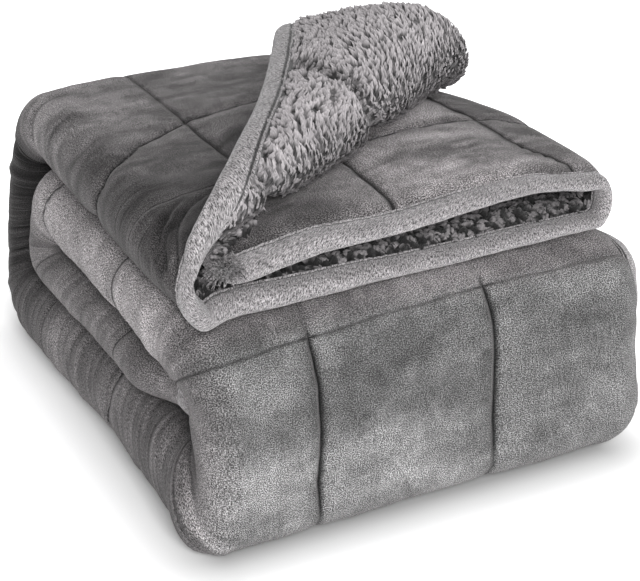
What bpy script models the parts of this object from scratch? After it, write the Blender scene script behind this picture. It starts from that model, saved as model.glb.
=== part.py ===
# Weighted throw: a quilted velvet face on a sherpa back, bound all round.
# It is folded in three across its width with the sherpa inside, wound up
# lengthwise into four layers, and one corner of the outer third is turned back.
#
# Every piece starts as a flat slab of cloth in blanket coordinates
#   t  across the width, 0 at the free long edge of the outer third
#   s  along the length, 0 at the short edge that ends the top layer
#   h  through the cloth, + on the velvet side, - on the sherpa side
# and fold() takes each of its points to the folded shape.
import bpy
import bmesh
import math
import numpy as np

# ---- named sizes, metres -------------------------------------------------
STRIP_W = 0.406        # width of the folded strip
THICK = 0.0645         # nominal thickness of the strip, three plies
PLY = 0.0202           # thickness of one ply, velvet and sherpa together
EDGE = 0.020           # width of the binding on each side of the edge
BIND = 0.0172          # thickness of the bound edge
CLEAR = 0.0003         # gap kept between pieces that touch
SEAM = 0.0030          # gap between the binding's inner side and the panels

HALF = PLY / 2
M_OUT = THICK - HALF   # height of the outer third's middle in the strip
M_IN = HALF            # height of the inner third's middle
M_MID = THICK / 2      # height of the tucked third's middle
X_TURN_L = -STRIP_W / 2 + (M_OUT - M_IN) / 2 + HALF   # centre of the wide left turn
X_TURN_R = 0.158       # centre of the tight right turn
X_OPEN_R = 0.191       # the same where the mouth of the top layer opens
X_TUCK = -0.163        # free edge of the tucked third
X_BEND = 0.1625        # where the outer third starts to bend round the right side
LAP = 0.048            # what it has past that point
R_LAP = 0.030          # radius of that bend
R_CURL = 0.050         # radius of the curl of the turned-back edge
LAP_SLACK = 0.45       # how much less it bends on the front face

T_BEND = LAP
T_LEFT = T_BEND + X_BEND - X_TURN_L
R_LEFT = (M_OUT - M_IN) / 2
T_LEFT2 = T_LEFT + math.pi * R_LEFT
T_RIGHT = T_LEFT2 + X_TURN_R - X_TURN_L
R_RIGHT = (M_MID - M_IN) / 2
T_RIGHT2 = T_RIGHT + math.pi * R_RIGHT
T_END = T_RIGHT2 + X_TURN_R - X_TUCK

# ---- the winding, seen from the left: corners of its outer and inner side --
# name            outer y, z, radius       inner y, z, radius
WINDING = (
    ("top end",   (-0.225, 0.277, 0.0),    (-0.225, 0.2125, 0.0)),
    ("back top",  (0.214, 0.277, 0.056),   (0.1515, 0.2125, 0.006)),
    ("back foot", (0.230, 0.000, 0.050),   (0.1665, 0.0880, 0.006)),
    ("front foot", (-0.261, 0.000, 0.036), (-0.194, 0.0880, 0.006)),
    ("front top", (-0.254, 0.2105, 0.070), (-0.190, 0.1435, 0.006)),
    ("tuck top",  (0.149, 0.2105, 0.034),  (0.090, 0.1435, 0.0009)),
    ("tuck foot", (0.162, 0.0900, 0.034),  (0.090, 0.1415, 0.0009)),
    ("inner end", (-0.184, 0.0900, 0.0),   (-0.184, 0.1415, 0.0)),
)
# looseness of the top layer at its mouth: how far the plies stand apart
GAP_OPEN = 0.024       # widest, near the right
GAP_END = 0.015        # at the right turn itself
GAP_LEFT = 0.010       # a second rise near its left end

SPREAD_RIGHT = 0.047   # how far the lower layers stand out to the right
SPREAD_LEFT = 0.018    # and to the left at the back
TUCK_IN = 0.022        # how far the hidden end draws in from the left
DROOP = 0.006          # how far the top layer's front edge hangs
CENTRE_X, CENTRE_Y = 0.01650, -0.01645   # middle of the footprint, moved to the origin

# ---- the turned-back corner ----------------------------------------------
PEEL_X, PEEL_Y = -0.184, -0.217     # where its crease starts, near the front left
PEEL_ANGLE = math.radians(34.0)     # direction of the crease from the width
PEEL_R0, PEEL_R1 = 0.0135, 0.035    # radius of the roll at its two ends
PEEL_TURN = math.radians(198)       # how far the roll turns before it lies back

# ---- how the top layer has settled off its plain fold ----------------------
# sideways is towards the front right, along SIDE
SIDE = (0.894, -0.448)
# its front edge     across   sideways  up
EDGE_SET = (
    ("free corner",   0.000, -0.0020,  0.0100),
    ("near it",       0.030, -0.0040,  0.0050),
    ("flap, high",    0.080, -0.0050,  0.0000),
    ("flap, low",     0.300, -0.0060,  0.0000),
    ("rising",        0.330, -0.0120,  0.0000),
    ("leaning out",   0.350, -0.0180, -0.0010),
    ("lowest lean",   0.365, -0.0180, -0.0050),
    ("drawn down",    0.380, -0.0120, -0.0120),
    ("turn, top",     0.395,  0.0010, -0.0180),
    ("turn, upper",   0.410,  0.0100, -0.0170),
    ("turn, middle",  0.420,  0.0130, -0.0130),
    ("turn, lower",   0.435,  0.0120, -0.0090),
    ("turn, foot",    0.450,  0.0070, -0.0030),
    ("past the foot", 0.470,  0.0010,  0.0000),
    ("plain again",   0.500,  0.0000,  0.0000),
)
# places              across along  reach across, along    right    back      up
PLACE_SET = (
    ("end of flap",    0.020, 0.370, 0.100, 0.100, -0.0063,  0.0031,  0.0000),
    ("back left top",  0.400, 0.430, 0.040, 0.060,  0.0000,  0.0000, -0.0060),
    ("back top",       0.300, 0.450, 9.000, 0.060,  0.0000,  0.0000, -0.0050),
    ("right shoulder", 0.000, 1.370, 0.110, 0.060,  0.0134, -0.0067,  0.0000),
    ("front right",    0.000, 1.220, 0.080, 0.060, -0.0072,  0.0036,  0.0000),
    ("front left",     0.420, 1.265, 0.060, 0.070,  0.0150,  0.0000,  0.0000),
    ("tucked in it",   1.135, 1.265, 0.080, 0.080,  0.0180,  0.0000,  0.0000),
)


def ease(a, b, x):
    k = np.clip((x - a) / (b - a), 0.0, 1.0)
    return k * k * (3 - 2 * k)


def rail(corners):
    """A polyline with rounded corners as [(length, function of 0..1)]."""
    p = [np.array(c[:2]) for c in corners]
    pieces, start = [], p[0]
    for i in range(1, len(p) - 1):
        a = (p[i - 1] - p[i]) / np.linalg.norm(p[i - 1] - p[i])
        b = (p[i + 1] - p[i]) / np.linalg.norm(p[i + 1] - p[i])
        half = math.acos(np.clip(a @ b, -1, 1)) / 2
        r = corners[i][2]
        cut = r / math.tan(half)
        centre = p[i] + (a + b) / np.linalg.norm(a + b) * r / math.sin(half)
        p0, p1 = p[i] + a * cut, p[i] + b * cut
        pieces.append(("line", start, p0))
        a0 = math.atan2(*(p0 - centre)[::-1])
        a1 = math.atan2(*(p1 - centre)[::-1])
        turn = (a1 - a0 + math.pi) % (2 * math.pi) - math.pi
        pieces.append(("arc", centre, r, a0, turn))
        start = p1
    pieces.append(("line", start, p[-1]))
    return pieces


def piece_length(c):
    return float(np.linalg.norm(c[2] - c[1])) if c[0] == "line" else abs(c[2] * c[4])


def piece_point(c, f):
    if c[0] == "line":
        return c[1] + (c[2] - c[1]) * f[:, None]
    a = c[3] + c[4] * f
    return c[1] + c[2] * np.stack([np.cos(a), np.sin(a)], 1)


OUTER = rail([w[1] for w in WINDING])
INNER = rail([w[2] for w in WINDING])
BREAKS = np.concatenate([[0.0], np.cumsum([piece_length(c) for c in OUTER])])
S_END = float(BREAKS[-1])


def winding(s, n):
    """Point (y, z) of the strip at length s and height n, 0 inside to 1 outside."""
    k = np.clip(np.searchsorted(BREAKS, s, side="right") - 1, 0, len(OUTER) - 1)
    f = (s - BREAKS[k]) / (BREAKS[k + 1] - BREAKS[k])
    out = np.zeros((len(s), 2))
    for i in range(len(OUTER)):
        m = k == i
        if m.any():
            a, b = piece_point(INNER[i], f[m]), piece_point(OUTER[i], f[m])
            out[m] = a + (b - a) * n[m][:, None]
    return out


def looseness(x, y):
    """How far the tucked and the outer third are lifted off the inner third."""
    side = GAP_OPEN * ease(-0.16, 0.11, x) - (GAP_OPEN - GAP_END) * ease(0.12, 0.19, x)
    left = GAP_LEFT * np.exp(-((x + 0.085) / 0.062) ** 2) * (1 - ease(-0.17, -0.03, y))
    return side * (1 - ease(-0.02, 0.13, y)) + left


def settle(x, y, z, s):
    """The whole stack under its own weight: it spreads low down and droops at its mouth."""
    low = 1 - np.clip(z / 0.225, 0, 1) ** 2
    x = (x + SPREAD_RIGHT * ease(0.02, 0.20, x) * low * (1 - 0.5 * ease(-0.2, 0.2, y))
         - SPREAD_LEFT * ease(0.05, 0.20, -x) * low * ease(-0.1, 0.2, y))
    tucked = (s > BREAKS[12]) * ease(0.11, 0.16, -y) * ease(0.1, 0.2, -x)
    x = x + TUCK_IN * tucked
    z = z - DROOP * (s < 0.1) * ease(0.19, 0.225, -y) * (1 + 0.4 * ease(0.0, 0.2, -x) - 0.7 * ease(0.0, 0.2, x))
    return x, y, z


def section(t, s, x_turn_r, bend):
    """Middle of the cloth across the strip: x, height m, and the velvet side's normal."""
    x, m = np.zeros_like(t), np.zeros_like(t)
    nx, nm = np.zeros_like(t), np.ones_like(t)
    # outer third, with its free edge bent by the signed curvature bend
    e = np.maximum(T_BEND - t, 0.0)
    a = bend * e
    small = np.abs(a) < 1e-5
    b = np.where(small, 1.0, bend)
    q = t <= T_LEFT
    x[q] = (X_BEND + np.where(small, e, np.sin(a) / b) - np.maximum(t - T_BEND, 0))[q]
    m[q] = (M_OUT - np.where(small, 0.0, (1 - np.cos(a)) / b))[q]
    nx[q], nm[q] = np.sin(a)[q], np.cos(a)[q]
    q = (t > T_LEFT) & (t <= T_LEFT2)
    a = math.pi / 2 + (t - T_LEFT) / R_LEFT
    x[q] = (X_TURN_L + R_LEFT * np.cos(a))[q]
    m[q] = (M_IN + R_LEFT + R_LEFT * np.sin(a))[q]
    nx[q], nm[q] = np.cos(a)[q], np.sin(a)[q]
    q = (t > T_LEFT2) & (t <= T_RIGHT)
    f = (t - T_LEFT2) / (T_RIGHT - T_LEFT2)
    x[q] = (X_TURN_L + (x_turn_r - X_TURN_L) * f)[q]
    m[q], nm[q] = M_IN, -1.0
    q = (t > T_RIGHT) & (t <= T_RIGHT2)
    a = -math.pi / 2 + (t - T_RIGHT) / R_RIGHT
    x[q] = (x_turn_r + R_RIGHT * np.cos(a))[q]
    m[q] = (M_IN + R_RIGHT + R_RIGHT * np.sin(a))[q]
    nx[q], nm[q] = np.cos(a)[q], np.sin(a)[q]
    q = t > T_RIGHT2
    f = (t - T_RIGHT2) / (T_END - T_RIGHT2)
    x[q] = (x_turn_r + (X_TUCK - x_turn_r) * f)[q]
    m[q] = M_MID
    return x, m, nx, nm


def lifted(t):
    """1 on the two upper thirds, 0 on the inner one, eased round the turns."""
    return np.where(t < (T_LEFT2 + T_RIGHT) / 2,
                    1 - ease(T_LEFT, T_LEFT2, t), ease(T_RIGHT, T_RIGHT2, t))


def roll(d, radius):
    """Turned-back cloth across its crease: sideways u, height v and angle at distance d."""
    turned = PEEL_TURN * radius
    top = 2 * radius
    back = PEEL_TURN - math.pi
    land = turned + np.maximum(top - PLY - 0.008, 0.0) / math.sin(back)
    steps = 48
    u, v = np.zeros_like(d), np.zeros_like(d)
    for i in range(steps):
        x = d * (i + 0.5) / steps
        g = x / turned
        g = np.where(g < 0.8, g, 0.8 + 0.2 * (1 - np.exp(-(g - 0.8) / 0.2)))
        a = PEEL_TURN * g - back * ease(land - 0.015, land + 0.02, x)
        u += np.cos(a) * d / steps
        v += np.sin(a) * d / steps
    g = d / turned
    g = np.where(g < 0.8, g, 0.8 + 0.2 * (1 - np.exp(-(g - 0.8) / 0.2)))
    return u, v, PEEL_TURN * g - back * ease(land - 0.015, land + 0.02, d)


def through(x, xs, ys):
    """A smooth curve through the points (xs, ys)."""
    xs, ys = np.array(xs), np.array(ys)
    slope = np.gradient(ys, xs)
    k = np.clip(np.searchsorted(xs, x, side="right") - 1, 0, len(xs) - 2)
    w = xs[k + 1] - xs[k]
    f = np.clip((x - xs[k]) / w, 0, 1)
    return ((1 + 2 * f) * (1 - f) ** 2 * ys[k] + f * (1 - f) ** 2 * w * slope[k]
            + f * f * (3 - 2 * f) * ys[k + 1] + f * f * (f - 1) * w * slope[k + 1])


def set_off(t, s):
    """How far right, back and up the cloth has shifted at (t, s)."""
    ts = [r[1] for r in EDGE_SET]
    near = np.exp(-(s / (0.075 - 0.030 * ease(0.37, 0.42, t))) ** 2)
    side = through(t, ts, [r[2] for r in EDGE_SET]) * near
    up = through(t, ts, [r[3] for r in EDGE_SET]) * near
    right, back = side * SIDE[0], side * SIDE[1]
    for _, t0, s0, rt, rs, a, b, c in PLACE_SET:
        k = np.exp(-((t - t0) / rt) ** 2 - ((s - s0) / rs) ** 2)
        right, back, up = right + a * k, back + b * k, up + c * k
    return right, back, up


def fold(t, s, h):
    """Blanket coordinates to the folded shape."""
    t, s, h = (np.asarray(v, float) for v in (t, s, h))
    ca, sa = math.cos(PEEL_ANGLE), math.sin(PEEL_ANGLE)
    y_flat = WINDING[0][1][0] + s
    front = 1 - ease(0.14, 0.30, s)
    # the free edge hangs round the right side, and curls the other way where it is peeled
    x_edge = X_BEND + LAP
    d_edge = (x_edge - PEEL_X) * sa - (y_flat - PEEL_Y) * ca
    w = ease(-0.05, 0.06, d_edge)
    slack = LAP_SLACK * ease(1.10, 1.17, s) * (1 - ease(1.38, 1.45, s))
    bend = (1 - w) * (1 - slack) / R_LAP - w / R_CURL
    x, m, nx, nm = section(t, s, X_TURN_R + (X_OPEN_R - X_TURN_R) * front, bend)
    x, m = x + nx * h, m + nm * h
    n = m / THICK
    yz = winding(s, n)
    y, z = yz[:, 0].copy(), yz[:, 1].copy()
    z += looseness(x, y_flat) * lifted(t) * (s < 0.4)
    # the turned-back corner of the outer third
    q = (t < T_LEFT) & (s < 0.45)
    d = (x - PEEL_X) * sa - (y_flat - PEEL_Y) * ca
    q &= d > 0
    if q.any():
        r = (x[q] - PEEL_X) * ca + (y_flat[q] - PEEL_Y) * sa
        fx, fy = PEEL_X + r * ca, PEEL_Y + r * sa
        radius = PEEL_R0 + (PEEL_R1 - PEEL_R0) * ease(0.0, 0.30, r)
        u, v, a = roll(d[q], radius)
        off = m[q] - M_OUT
        side = u - np.sin(a) * off
        x[q] = fx + side * sa
        y[q] = fy - side * ca
        z[q] = WINDING[0][2][1] + M_OUT + looseness(fx, fy) + v + np.cos(a) * off
    x, y, z = settle(x, y, z, s)
    right, back, up = set_off(t, s)
    return np.stack([x - CENTRE_X + right, y - CENTRE_Y + back, z + up], 1)


def stations(*runs):
    """Positions from (end, number of steps) runs, starting at 0."""
    out = [0.0]
    for end, count in runs:
        out += [out[-1] + (end - out[-1]) * (i + 1) / count for i in range(count)]
    return np.array(out)


# steps across the width and along the length: closer where the cloth turns
ACROSS = stations((EDGE, 1), (LAP, 1), (0.20, 4), (T_LEFT, 8), (T_LEFT2, 4), (T_RIGHT, 2),
                  (T_RIGHT2, 4), (T_END - EDGE, 3), (T_END, 1))
ALONG = stations((EDGE, 1), (0.10, 4), (0.27, 5), (BREAKS[1], 2), (BREAKS[2], 3), (BREAKS[3], 1),
                 (BREAKS[4], 3), (BREAKS[5], 3), (BREAKS[6], 3), (BREAKS[7], 1),
                 (BREAKS[8], 3), (BREAKS[9], 3), (BREAKS[10], 3), (BREAKS[11], 1),
                 (BREAKS[12], 3), (S_END - EDGE, 2), (S_END, 1))


def slab(name, rim, levels, colour, rough, collection):
    """A flat slab of the blanket, its rim or all but its rim, then folded.
    levels are the heights of its surfaces, with a line halfway up a thick edge."""
    ts, ss = ACROSS.copy(), ALONG.copy()
    if not rim:
        ts, ss = ts[1:-1], ss[1:-1]
        ts[0] += SEAM
        ts[-1] -= SEAM
        ss[0] += SEAM
        ss[-1] -= SEAM
    bm = bmesh.new()
    bmesh.ops.create_grid(bm, x_segments=len(ts) - 1, y_segments=len(ss) - 1, size=0.5)
    for v in bm.verts:
        i = int(round((v.co.x + 0.5) * (len(ts) - 1)))
        j = int(round((v.co.y + 0.5) * (len(ss) - 1)))
        v.co = (ts[i], ss[j], levels[0])
    if rim:
        inside = [f for f in bm.faces
                  if EDGE < f.calc_center_median().x < T_END - EDGE
                  and EDGE < f.calc_center_median().y < S_END - EDGE]
        bmesh.ops.delete(bm, geom=inside, context="FACES")
    bmesh.ops.triangulate(bm, faces=bm.faces[:], quad_method="FIXED")
    top, first = bm.faces[:], True
    for level in levels[1:]:
        grown = bmesh.ops.extrude_face_region(bm, geom=top)["geom"]
        if not first:
            bmesh.ops.delete(bm, geom=top, context="FACES_ONLY")
        top, first = [g for g in grown if isinstance(g, bmesh.types.BMFace)], False
        for g in grown:
            if isinstance(g, bmesh.types.BMVert):
                g.co.z = level
    bmesh.ops.recalc_face_normals(bm, faces=bm.faces[:])
    flat = np.array([v.co[:] for v in bm.verts])
    shape = fold(flat[:, 0], flat[:, 1], flat[:, 2])
    for v, co in zip(bm.verts, shape):
        v.co = co
    bmesh.ops.triangulate(bm, faces=bm.faces[:], quad_method="SHORT_EDGE")
    if bm.calc_volume(signed=True) < 0:
        bmesh.ops.reverse_faces(bm, faces=bm.faces[:])
    mesh = bpy.data.meshes.new(name)
    bm.to_mesh(mesh)
    bm.free()
    mesh.shade_smooth()
    mesh.set_sharp_from_angle(angle=math.radians(50))
    ob = bpy.data.objects.new(name, mesh)
    collection.objects.link(ob)
    mat = bpy.data.materials.new(name)
    mat.use_nodes = True
    bsdf = mat.node_tree.nodes["Principled BSDF"]
    bsdf.inputs["Base Color"].default_value = (*colour, 1.0)
    bsdf.inputs["Roughness"].default_value = rough
    bsdf.inputs["Metallic"].default_value = 0.0
    mesh.materials.append(mat)
    return ob


def main():
    for o in list(bpy.data.objects):
        bpy.data.objects.remove(o, do_unlink=True)
    blanket = bpy.data.collections.new("weighted_blanket")
    bpy.context.scene.collection.children.link(blanket)
    slab("face_panel", False, (CLEAR / 2, HALF), (0.105, 0.100, 0.104), 0.75, blanket)
    slab("sherpa_back", False, (-HALF, -CLEAR / 2), (0.190, 0.180, 0.180), 0.95, blanket)
    slab("binding", True, (-BIND / 2, 0.0, BIND / 2), (0.300, 0.285, 0.280), 0.85, blanket)


main()
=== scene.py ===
# The looks of the folded weighted throw: quilted velvet face, sherpa back, plush binding.
# Every surface is a sheet in blanket coordinates, taken to the folded shape by fold():
#   t  across the width, 0 at the free long edge of the outer third
#   s  along the length, 0 at the short edge that ends the top layer
#   h  through the cloth, + on the velvet side, - on the sherpa side
import bpy
import math
import numpy as np
from mathutils import Matrix, Vector


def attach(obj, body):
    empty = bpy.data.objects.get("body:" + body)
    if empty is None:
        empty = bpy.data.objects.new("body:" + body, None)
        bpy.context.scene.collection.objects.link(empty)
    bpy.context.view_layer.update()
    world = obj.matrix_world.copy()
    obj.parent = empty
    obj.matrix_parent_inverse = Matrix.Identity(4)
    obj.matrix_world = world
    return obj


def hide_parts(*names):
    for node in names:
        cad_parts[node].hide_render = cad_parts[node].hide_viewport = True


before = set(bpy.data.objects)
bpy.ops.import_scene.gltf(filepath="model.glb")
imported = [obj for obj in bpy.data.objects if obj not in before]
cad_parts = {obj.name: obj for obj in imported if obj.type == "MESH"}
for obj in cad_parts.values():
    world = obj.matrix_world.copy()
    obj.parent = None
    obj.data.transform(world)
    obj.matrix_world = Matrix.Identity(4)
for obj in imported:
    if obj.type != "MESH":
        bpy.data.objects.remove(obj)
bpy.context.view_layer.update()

# ---- sizes shared with the solids, metres ---------------------------------
STRIP_W, THICK, PLY, EDGE, BIND = 0.406, 0.0645, 0.0202, 0.020, 0.0172
HALF = PLY / 2
M_OUT, M_IN, M_MID = THICK - HALF, HALF, THICK / 2
X_TURN_L = -STRIP_W / 2 + (M_OUT - M_IN) / 2 + HALF
X_TURN_R, X_OPEN_R, X_TUCK, X_BEND = 0.158, 0.191, -0.163, 0.1625
LAP, R_LAP, R_CURL, LAP_SLACK = 0.048, 0.030, 0.050, 0.45
T_BEND = LAP
T_LEFT = T_BEND + X_BEND - X_TURN_L
R_LEFT = (M_OUT - M_IN) / 2
T_LEFT2 = T_LEFT + math.pi * R_LEFT
T_RIGHT = T_LEFT2 + X_TURN_R - X_TURN_L
R_RIGHT = (M_MID - M_IN) / 2
T_RIGHT2 = T_RIGHT + math.pi * R_RIGHT
T_END = T_RIGHT2 + X_TURN_R - X_TUCK
# name            outer y, z, radius       inner y, z, radius
WINDING = (
    ("top end",   (-0.225, 0.277, 0.0),    (-0.225, 0.2125, 0.0)),
    ("back top",  (0.214, 0.277, 0.056),   (0.1515, 0.2125, 0.006)),
    ("back foot", (0.230, 0.000, 0.050),   (0.1665, 0.0880, 0.006)),
    ("front foot", (-0.261, 0.000, 0.036), (-0.194, 0.0880, 0.006)),
    ("front top", (-0.254, 0.2105, 0.070), (-0.190, 0.1435, 0.006)),
    ("tuck top",  (0.149, 0.2105, 0.034),  (0.090, 0.1435, 0.0009)),
    ("tuck foot", (0.162, 0.0900, 0.034),  (0.090, 0.1415, 0.0009)),
    ("inner end", (-0.184, 0.0900, 0.0),   (-0.184, 0.1415, 0.0)),
)
GAP_OPEN, GAP_END, GAP_LEFT = 0.024, 0.015, 0.010
SPREAD_RIGHT, SPREAD_LEFT, TUCK_IN, DROOP = 0.047, 0.018, 0.022, 0.006
CENTRE_X, CENTRE_Y = 0.01650, -0.01645
PEEL_X, PEEL_Y, PEEL_ANGLE = -0.184, -0.217, math.radians(34.0)
PEEL_R0, PEEL_R1, PEEL_TURN = 0.0135, 0.035, math.radians(198)

# ---- how the top layer has settled off its plain fold ----------------------
# sideways is towards the front right, along SIDE
SIDE = (0.894, -0.448)
# its front edge     across   sideways  up
EDGE_SET = (
    ("free corner",   0.000, -0.0020,  0.0100),
    ("near it",       0.030, -0.0040,  0.0050),
    ("flap, high",    0.080, -0.0050,  0.0000),
    ("flap, low",     0.300, -0.0060,  0.0000),
    ("rising",        0.330, -0.0120,  0.0000),
    ("leaning out",   0.350, -0.0180, -0.0010),
    ("lowest lean",   0.365, -0.0180, -0.0050),
    ("drawn down",    0.380, -0.0120, -0.0120),
    ("turn, top",     0.395,  0.0010, -0.0180),
    ("turn, upper",   0.410,  0.0100, -0.0170),
    ("turn, middle",  0.420,  0.0130, -0.0130),
    ("turn, lower",   0.435,  0.0120, -0.0090),
    ("turn, foot",    0.450,  0.0070, -0.0030),
    ("past the foot", 0.470,  0.0010,  0.0000),
    ("plain again",   0.500,  0.0000,  0.0000),
)
# places              across along  reach across, along    right    back      up
PLACE_SET = (
    ("end of flap",    0.020, 0.370, 0.100, 0.100, -0.0063,  0.0031,  0.0000),
    ("back left top",  0.400, 0.430, 0.040, 0.060,  0.0000,  0.0000, -0.0060),
    ("back top",       0.300, 0.450, 9.000, 0.060,  0.0000,  0.0000, -0.0050),
    ("right shoulder", 0.000, 1.370, 0.110, 0.060,  0.0134, -0.0067,  0.0000),
    ("front right",    0.000, 1.220, 0.080, 0.060, -0.0072,  0.0036,  0.0000),
    ("front left",     0.420, 1.265, 0.060, 0.070,  0.0150,  0.0000,  0.0000),
    ("tucked in it",   1.135, 1.265, 0.080, 0.080,  0.0180,  0.0000,  0.0000),
)


def ease(a, b, x):
    k = np.clip((x - a) / (b - a), 0.0, 1.0)
    return k * k * (3 - 2 * k)


def rail(corners):
    p = [np.array(c[:2]) for c in corners]
    pieces, start = [], p[0]
    for i in range(1, len(p) - 1):
        a = (p[i - 1] - p[i]) / np.linalg.norm(p[i - 1] - p[i])
        b = (p[i + 1] - p[i]) / np.linalg.norm(p[i + 1] - p[i])
        half = math.acos(np.clip(a @ b, -1, 1)) / 2
        r = corners[i][2]
        cut = r / math.tan(half)
        centre = p[i] + (a + b) / np.linalg.norm(a + b) * r / math.sin(half)
        p0, p1 = p[i] + a * cut, p[i] + b * cut
        pieces.append(("line", start, p0))
        a0 = math.atan2(*(p0 - centre)[::-1])
        a1 = math.atan2(*(p1 - centre)[::-1])
        turn = (a1 - a0 + math.pi) % (2 * math.pi) - math.pi
        pieces.append(("arc", centre, r, a0, turn))
        start = p1
    pieces.append(("line", start, p[-1]))
    return pieces


def piece_length(c):
    return float(np.linalg.norm(c[2] - c[1])) if c[0] == "line" else abs(c[2] * c[4])


def piece_point(c, f):
    if c[0] == "line":
        return c[1] + (c[2] - c[1]) * f[:, None]
    a = c[3] + c[4] * f
    return c[1] + c[2] * np.stack([np.cos(a), np.sin(a)], 1)


OUTER = rail([w[1] for w in WINDING])
INNER = rail([w[2] for w in WINDING])
BREAKS = np.concatenate([[0.0], np.cumsum([piece_length(c) for c in OUTER])])
S_END = float(BREAKS[-1])


def winding(s, n):
    k = np.clip(np.searchsorted(BREAKS, s, side="right") - 1, 0, len(OUTER) - 1)
    f = (s - BREAKS[k]) / (BREAKS[k + 1] - BREAKS[k])
    out = np.zeros((len(s), 2))
    for i in range(len(OUTER)):
        m = k == i
        if m.any():
            a, b = piece_point(INNER[i], f[m]), piece_point(OUTER[i], f[m])
            out[m] = a + (b - a) * n[m][:, None]
    return out


def looseness(x, y):
    side = GAP_OPEN * ease(-0.16, 0.11, x) - (GAP_OPEN - GAP_END) * ease(0.12, 0.19, x)
    left = GAP_LEFT * np.exp(-((x + 0.085) / 0.062) ** 2) * (1 - ease(-0.17, -0.03, y))
    return side * (1 - ease(-0.02, 0.13, y)) + left


def settle(x, y, z, s):
    low = 1 - np.clip(z / 0.225, 0, 1) ** 2
    x = (x + SPREAD_RIGHT * ease(0.02, 0.20, x) * low * (1 - 0.5 * ease(-0.2, 0.2, y))
         - SPREAD_LEFT * ease(0.05, 0.20, -x) * low * ease(-0.1, 0.2, y))
    tucked = (s > BREAKS[12]) * ease(0.11, 0.16, -y) * ease(0.1, 0.2, -x)
    x = x + TUCK_IN * tucked
    z = z - DROOP * (s < 0.1) * ease(0.19, 0.225, -y) * (1 + 0.4 * ease(0.0, 0.2, -x) - 0.7 * ease(0.0, 0.2, x))
    return x, y, z


def section(t, s, x_turn_r, bend):
    x, m = np.zeros_like(t), np.zeros_like(t)
    nx, nm = np.zeros_like(t), np.ones_like(t)
    e = np.maximum(T_BEND - t, 0.0)
    a = bend * e
    small = np.abs(a) < 1e-5
    b = np.where(small, 1.0, bend)
    q = t <= T_LEFT
    x[q] = (X_BEND + np.where(small, e, np.sin(a) / b) - np.maximum(t - T_BEND, 0))[q]
    m[q] = (M_OUT - np.where(small, 0.0, (1 - np.cos(a)) / b))[q]
    nx[q], nm[q] = np.sin(a)[q], np.cos(a)[q]
    q = (t > T_LEFT) & (t <= T_LEFT2)
    a = math.pi / 2 + (t - T_LEFT) / R_LEFT
    x[q] = (X_TURN_L + R_LEFT * np.cos(a))[q]
    m[q] = (M_IN + R_LEFT + R_LEFT * np.sin(a))[q]
    nx[q], nm[q] = np.cos(a)[q], np.sin(a)[q]
    q = (t > T_LEFT2) & (t <= T_RIGHT)
    f = (t - T_LEFT2) / (T_RIGHT - T_LEFT2)
    x[q] = (X_TURN_L + (x_turn_r - X_TURN_L) * f)[q]
    m[q], nm[q] = M_IN, -1.0
    q = (t > T_RIGHT) & (t <= T_RIGHT2)
    a = -math.pi / 2 + (t - T_RIGHT) / R_RIGHT
    x[q] = (x_turn_r + R_RIGHT * np.cos(a))[q]
    m[q] = (M_IN + R_RIGHT + R_RIGHT * np.sin(a))[q]
    nx[q], nm[q] = np.cos(a)[q], np.sin(a)[q]
    q = t > T_RIGHT2
    f = (t - T_RIGHT2) / (T_END - T_RIGHT2)
    x[q] = (x_turn_r + (X_TUCK - x_turn_r) * f)[q]
    m[q] = M_MID
    return x, m, nx, nm


def lifted(t):
    return np.where(t < (T_LEFT2 + T_RIGHT) / 2,
                    1 - ease(T_LEFT, T_LEFT2, t), ease(T_RIGHT, T_RIGHT2, t))


def roll(d, radius):
    turned = PEEL_TURN * radius
    top = 2 * radius
    back = PEEL_TURN - math.pi
    land = turned + np.maximum(top - PLY - 0.008, 0.0) / math.sin(back)
    steps = 48
    u, v = np.zeros_like(d), np.zeros_like(d)
    for i in range(steps):
        x = d * (i + 0.5) / steps
        g = x / turned
        g = np.where(g < 0.8, g, 0.8 + 0.2 * (1 - np.exp(-(g - 0.8) / 0.2)))
        a = PEEL_TURN * g - back * ease(land - 0.015, land + 0.02, x)
        u += np.cos(a) * d / steps
        v += np.sin(a) * d / steps
    g = d / turned
    g = np.where(g < 0.8, g, 0.8 + 0.2 * (1 - np.exp(-(g - 0.8) / 0.2)))
    return u, v, PEEL_TURN * g - back * ease(land - 0.015, land + 0.02, d)


def through(x, xs, ys):
    """A smooth curve through the points (xs, ys)."""
    xs, ys = np.array(xs), np.array(ys)
    slope = np.gradient(ys, xs)
    k = np.clip(np.searchsorted(xs, x, side="right") - 1, 0, len(xs) - 2)
    w = xs[k + 1] - xs[k]
    f = np.clip((x - xs[k]) / w, 0, 1)
    return ((1 + 2 * f) * (1 - f) ** 2 * ys[k] + f * (1 - f) ** 2 * w * slope[k]
            + f * f * (3 - 2 * f) * ys[k + 1] + f * f * (f - 1) * w * slope[k + 1])


def set_off(t, s):
    """How far right, back and up the cloth has shifted at (t, s)."""
    ts = [r[1] for r in EDGE_SET]
    near = np.exp(-(s / (0.075 - 0.030 * ease(0.37, 0.42, t))) ** 2)
    side = through(t, ts, [r[2] for r in EDGE_SET]) * near
    up = through(t, ts, [r[3] for r in EDGE_SET]) * near
    right, back = side * SIDE[0], side * SIDE[1]
    for _, t0, s0, rt, rs, a, b, c in PLACE_SET:
        k = np.exp(-((t - t0) / rt) ** 2 - ((s - s0) / rs) ** 2)
        right, back, up = right + a * k, back + b * k, up + c * k
    return right, back, up


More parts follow.
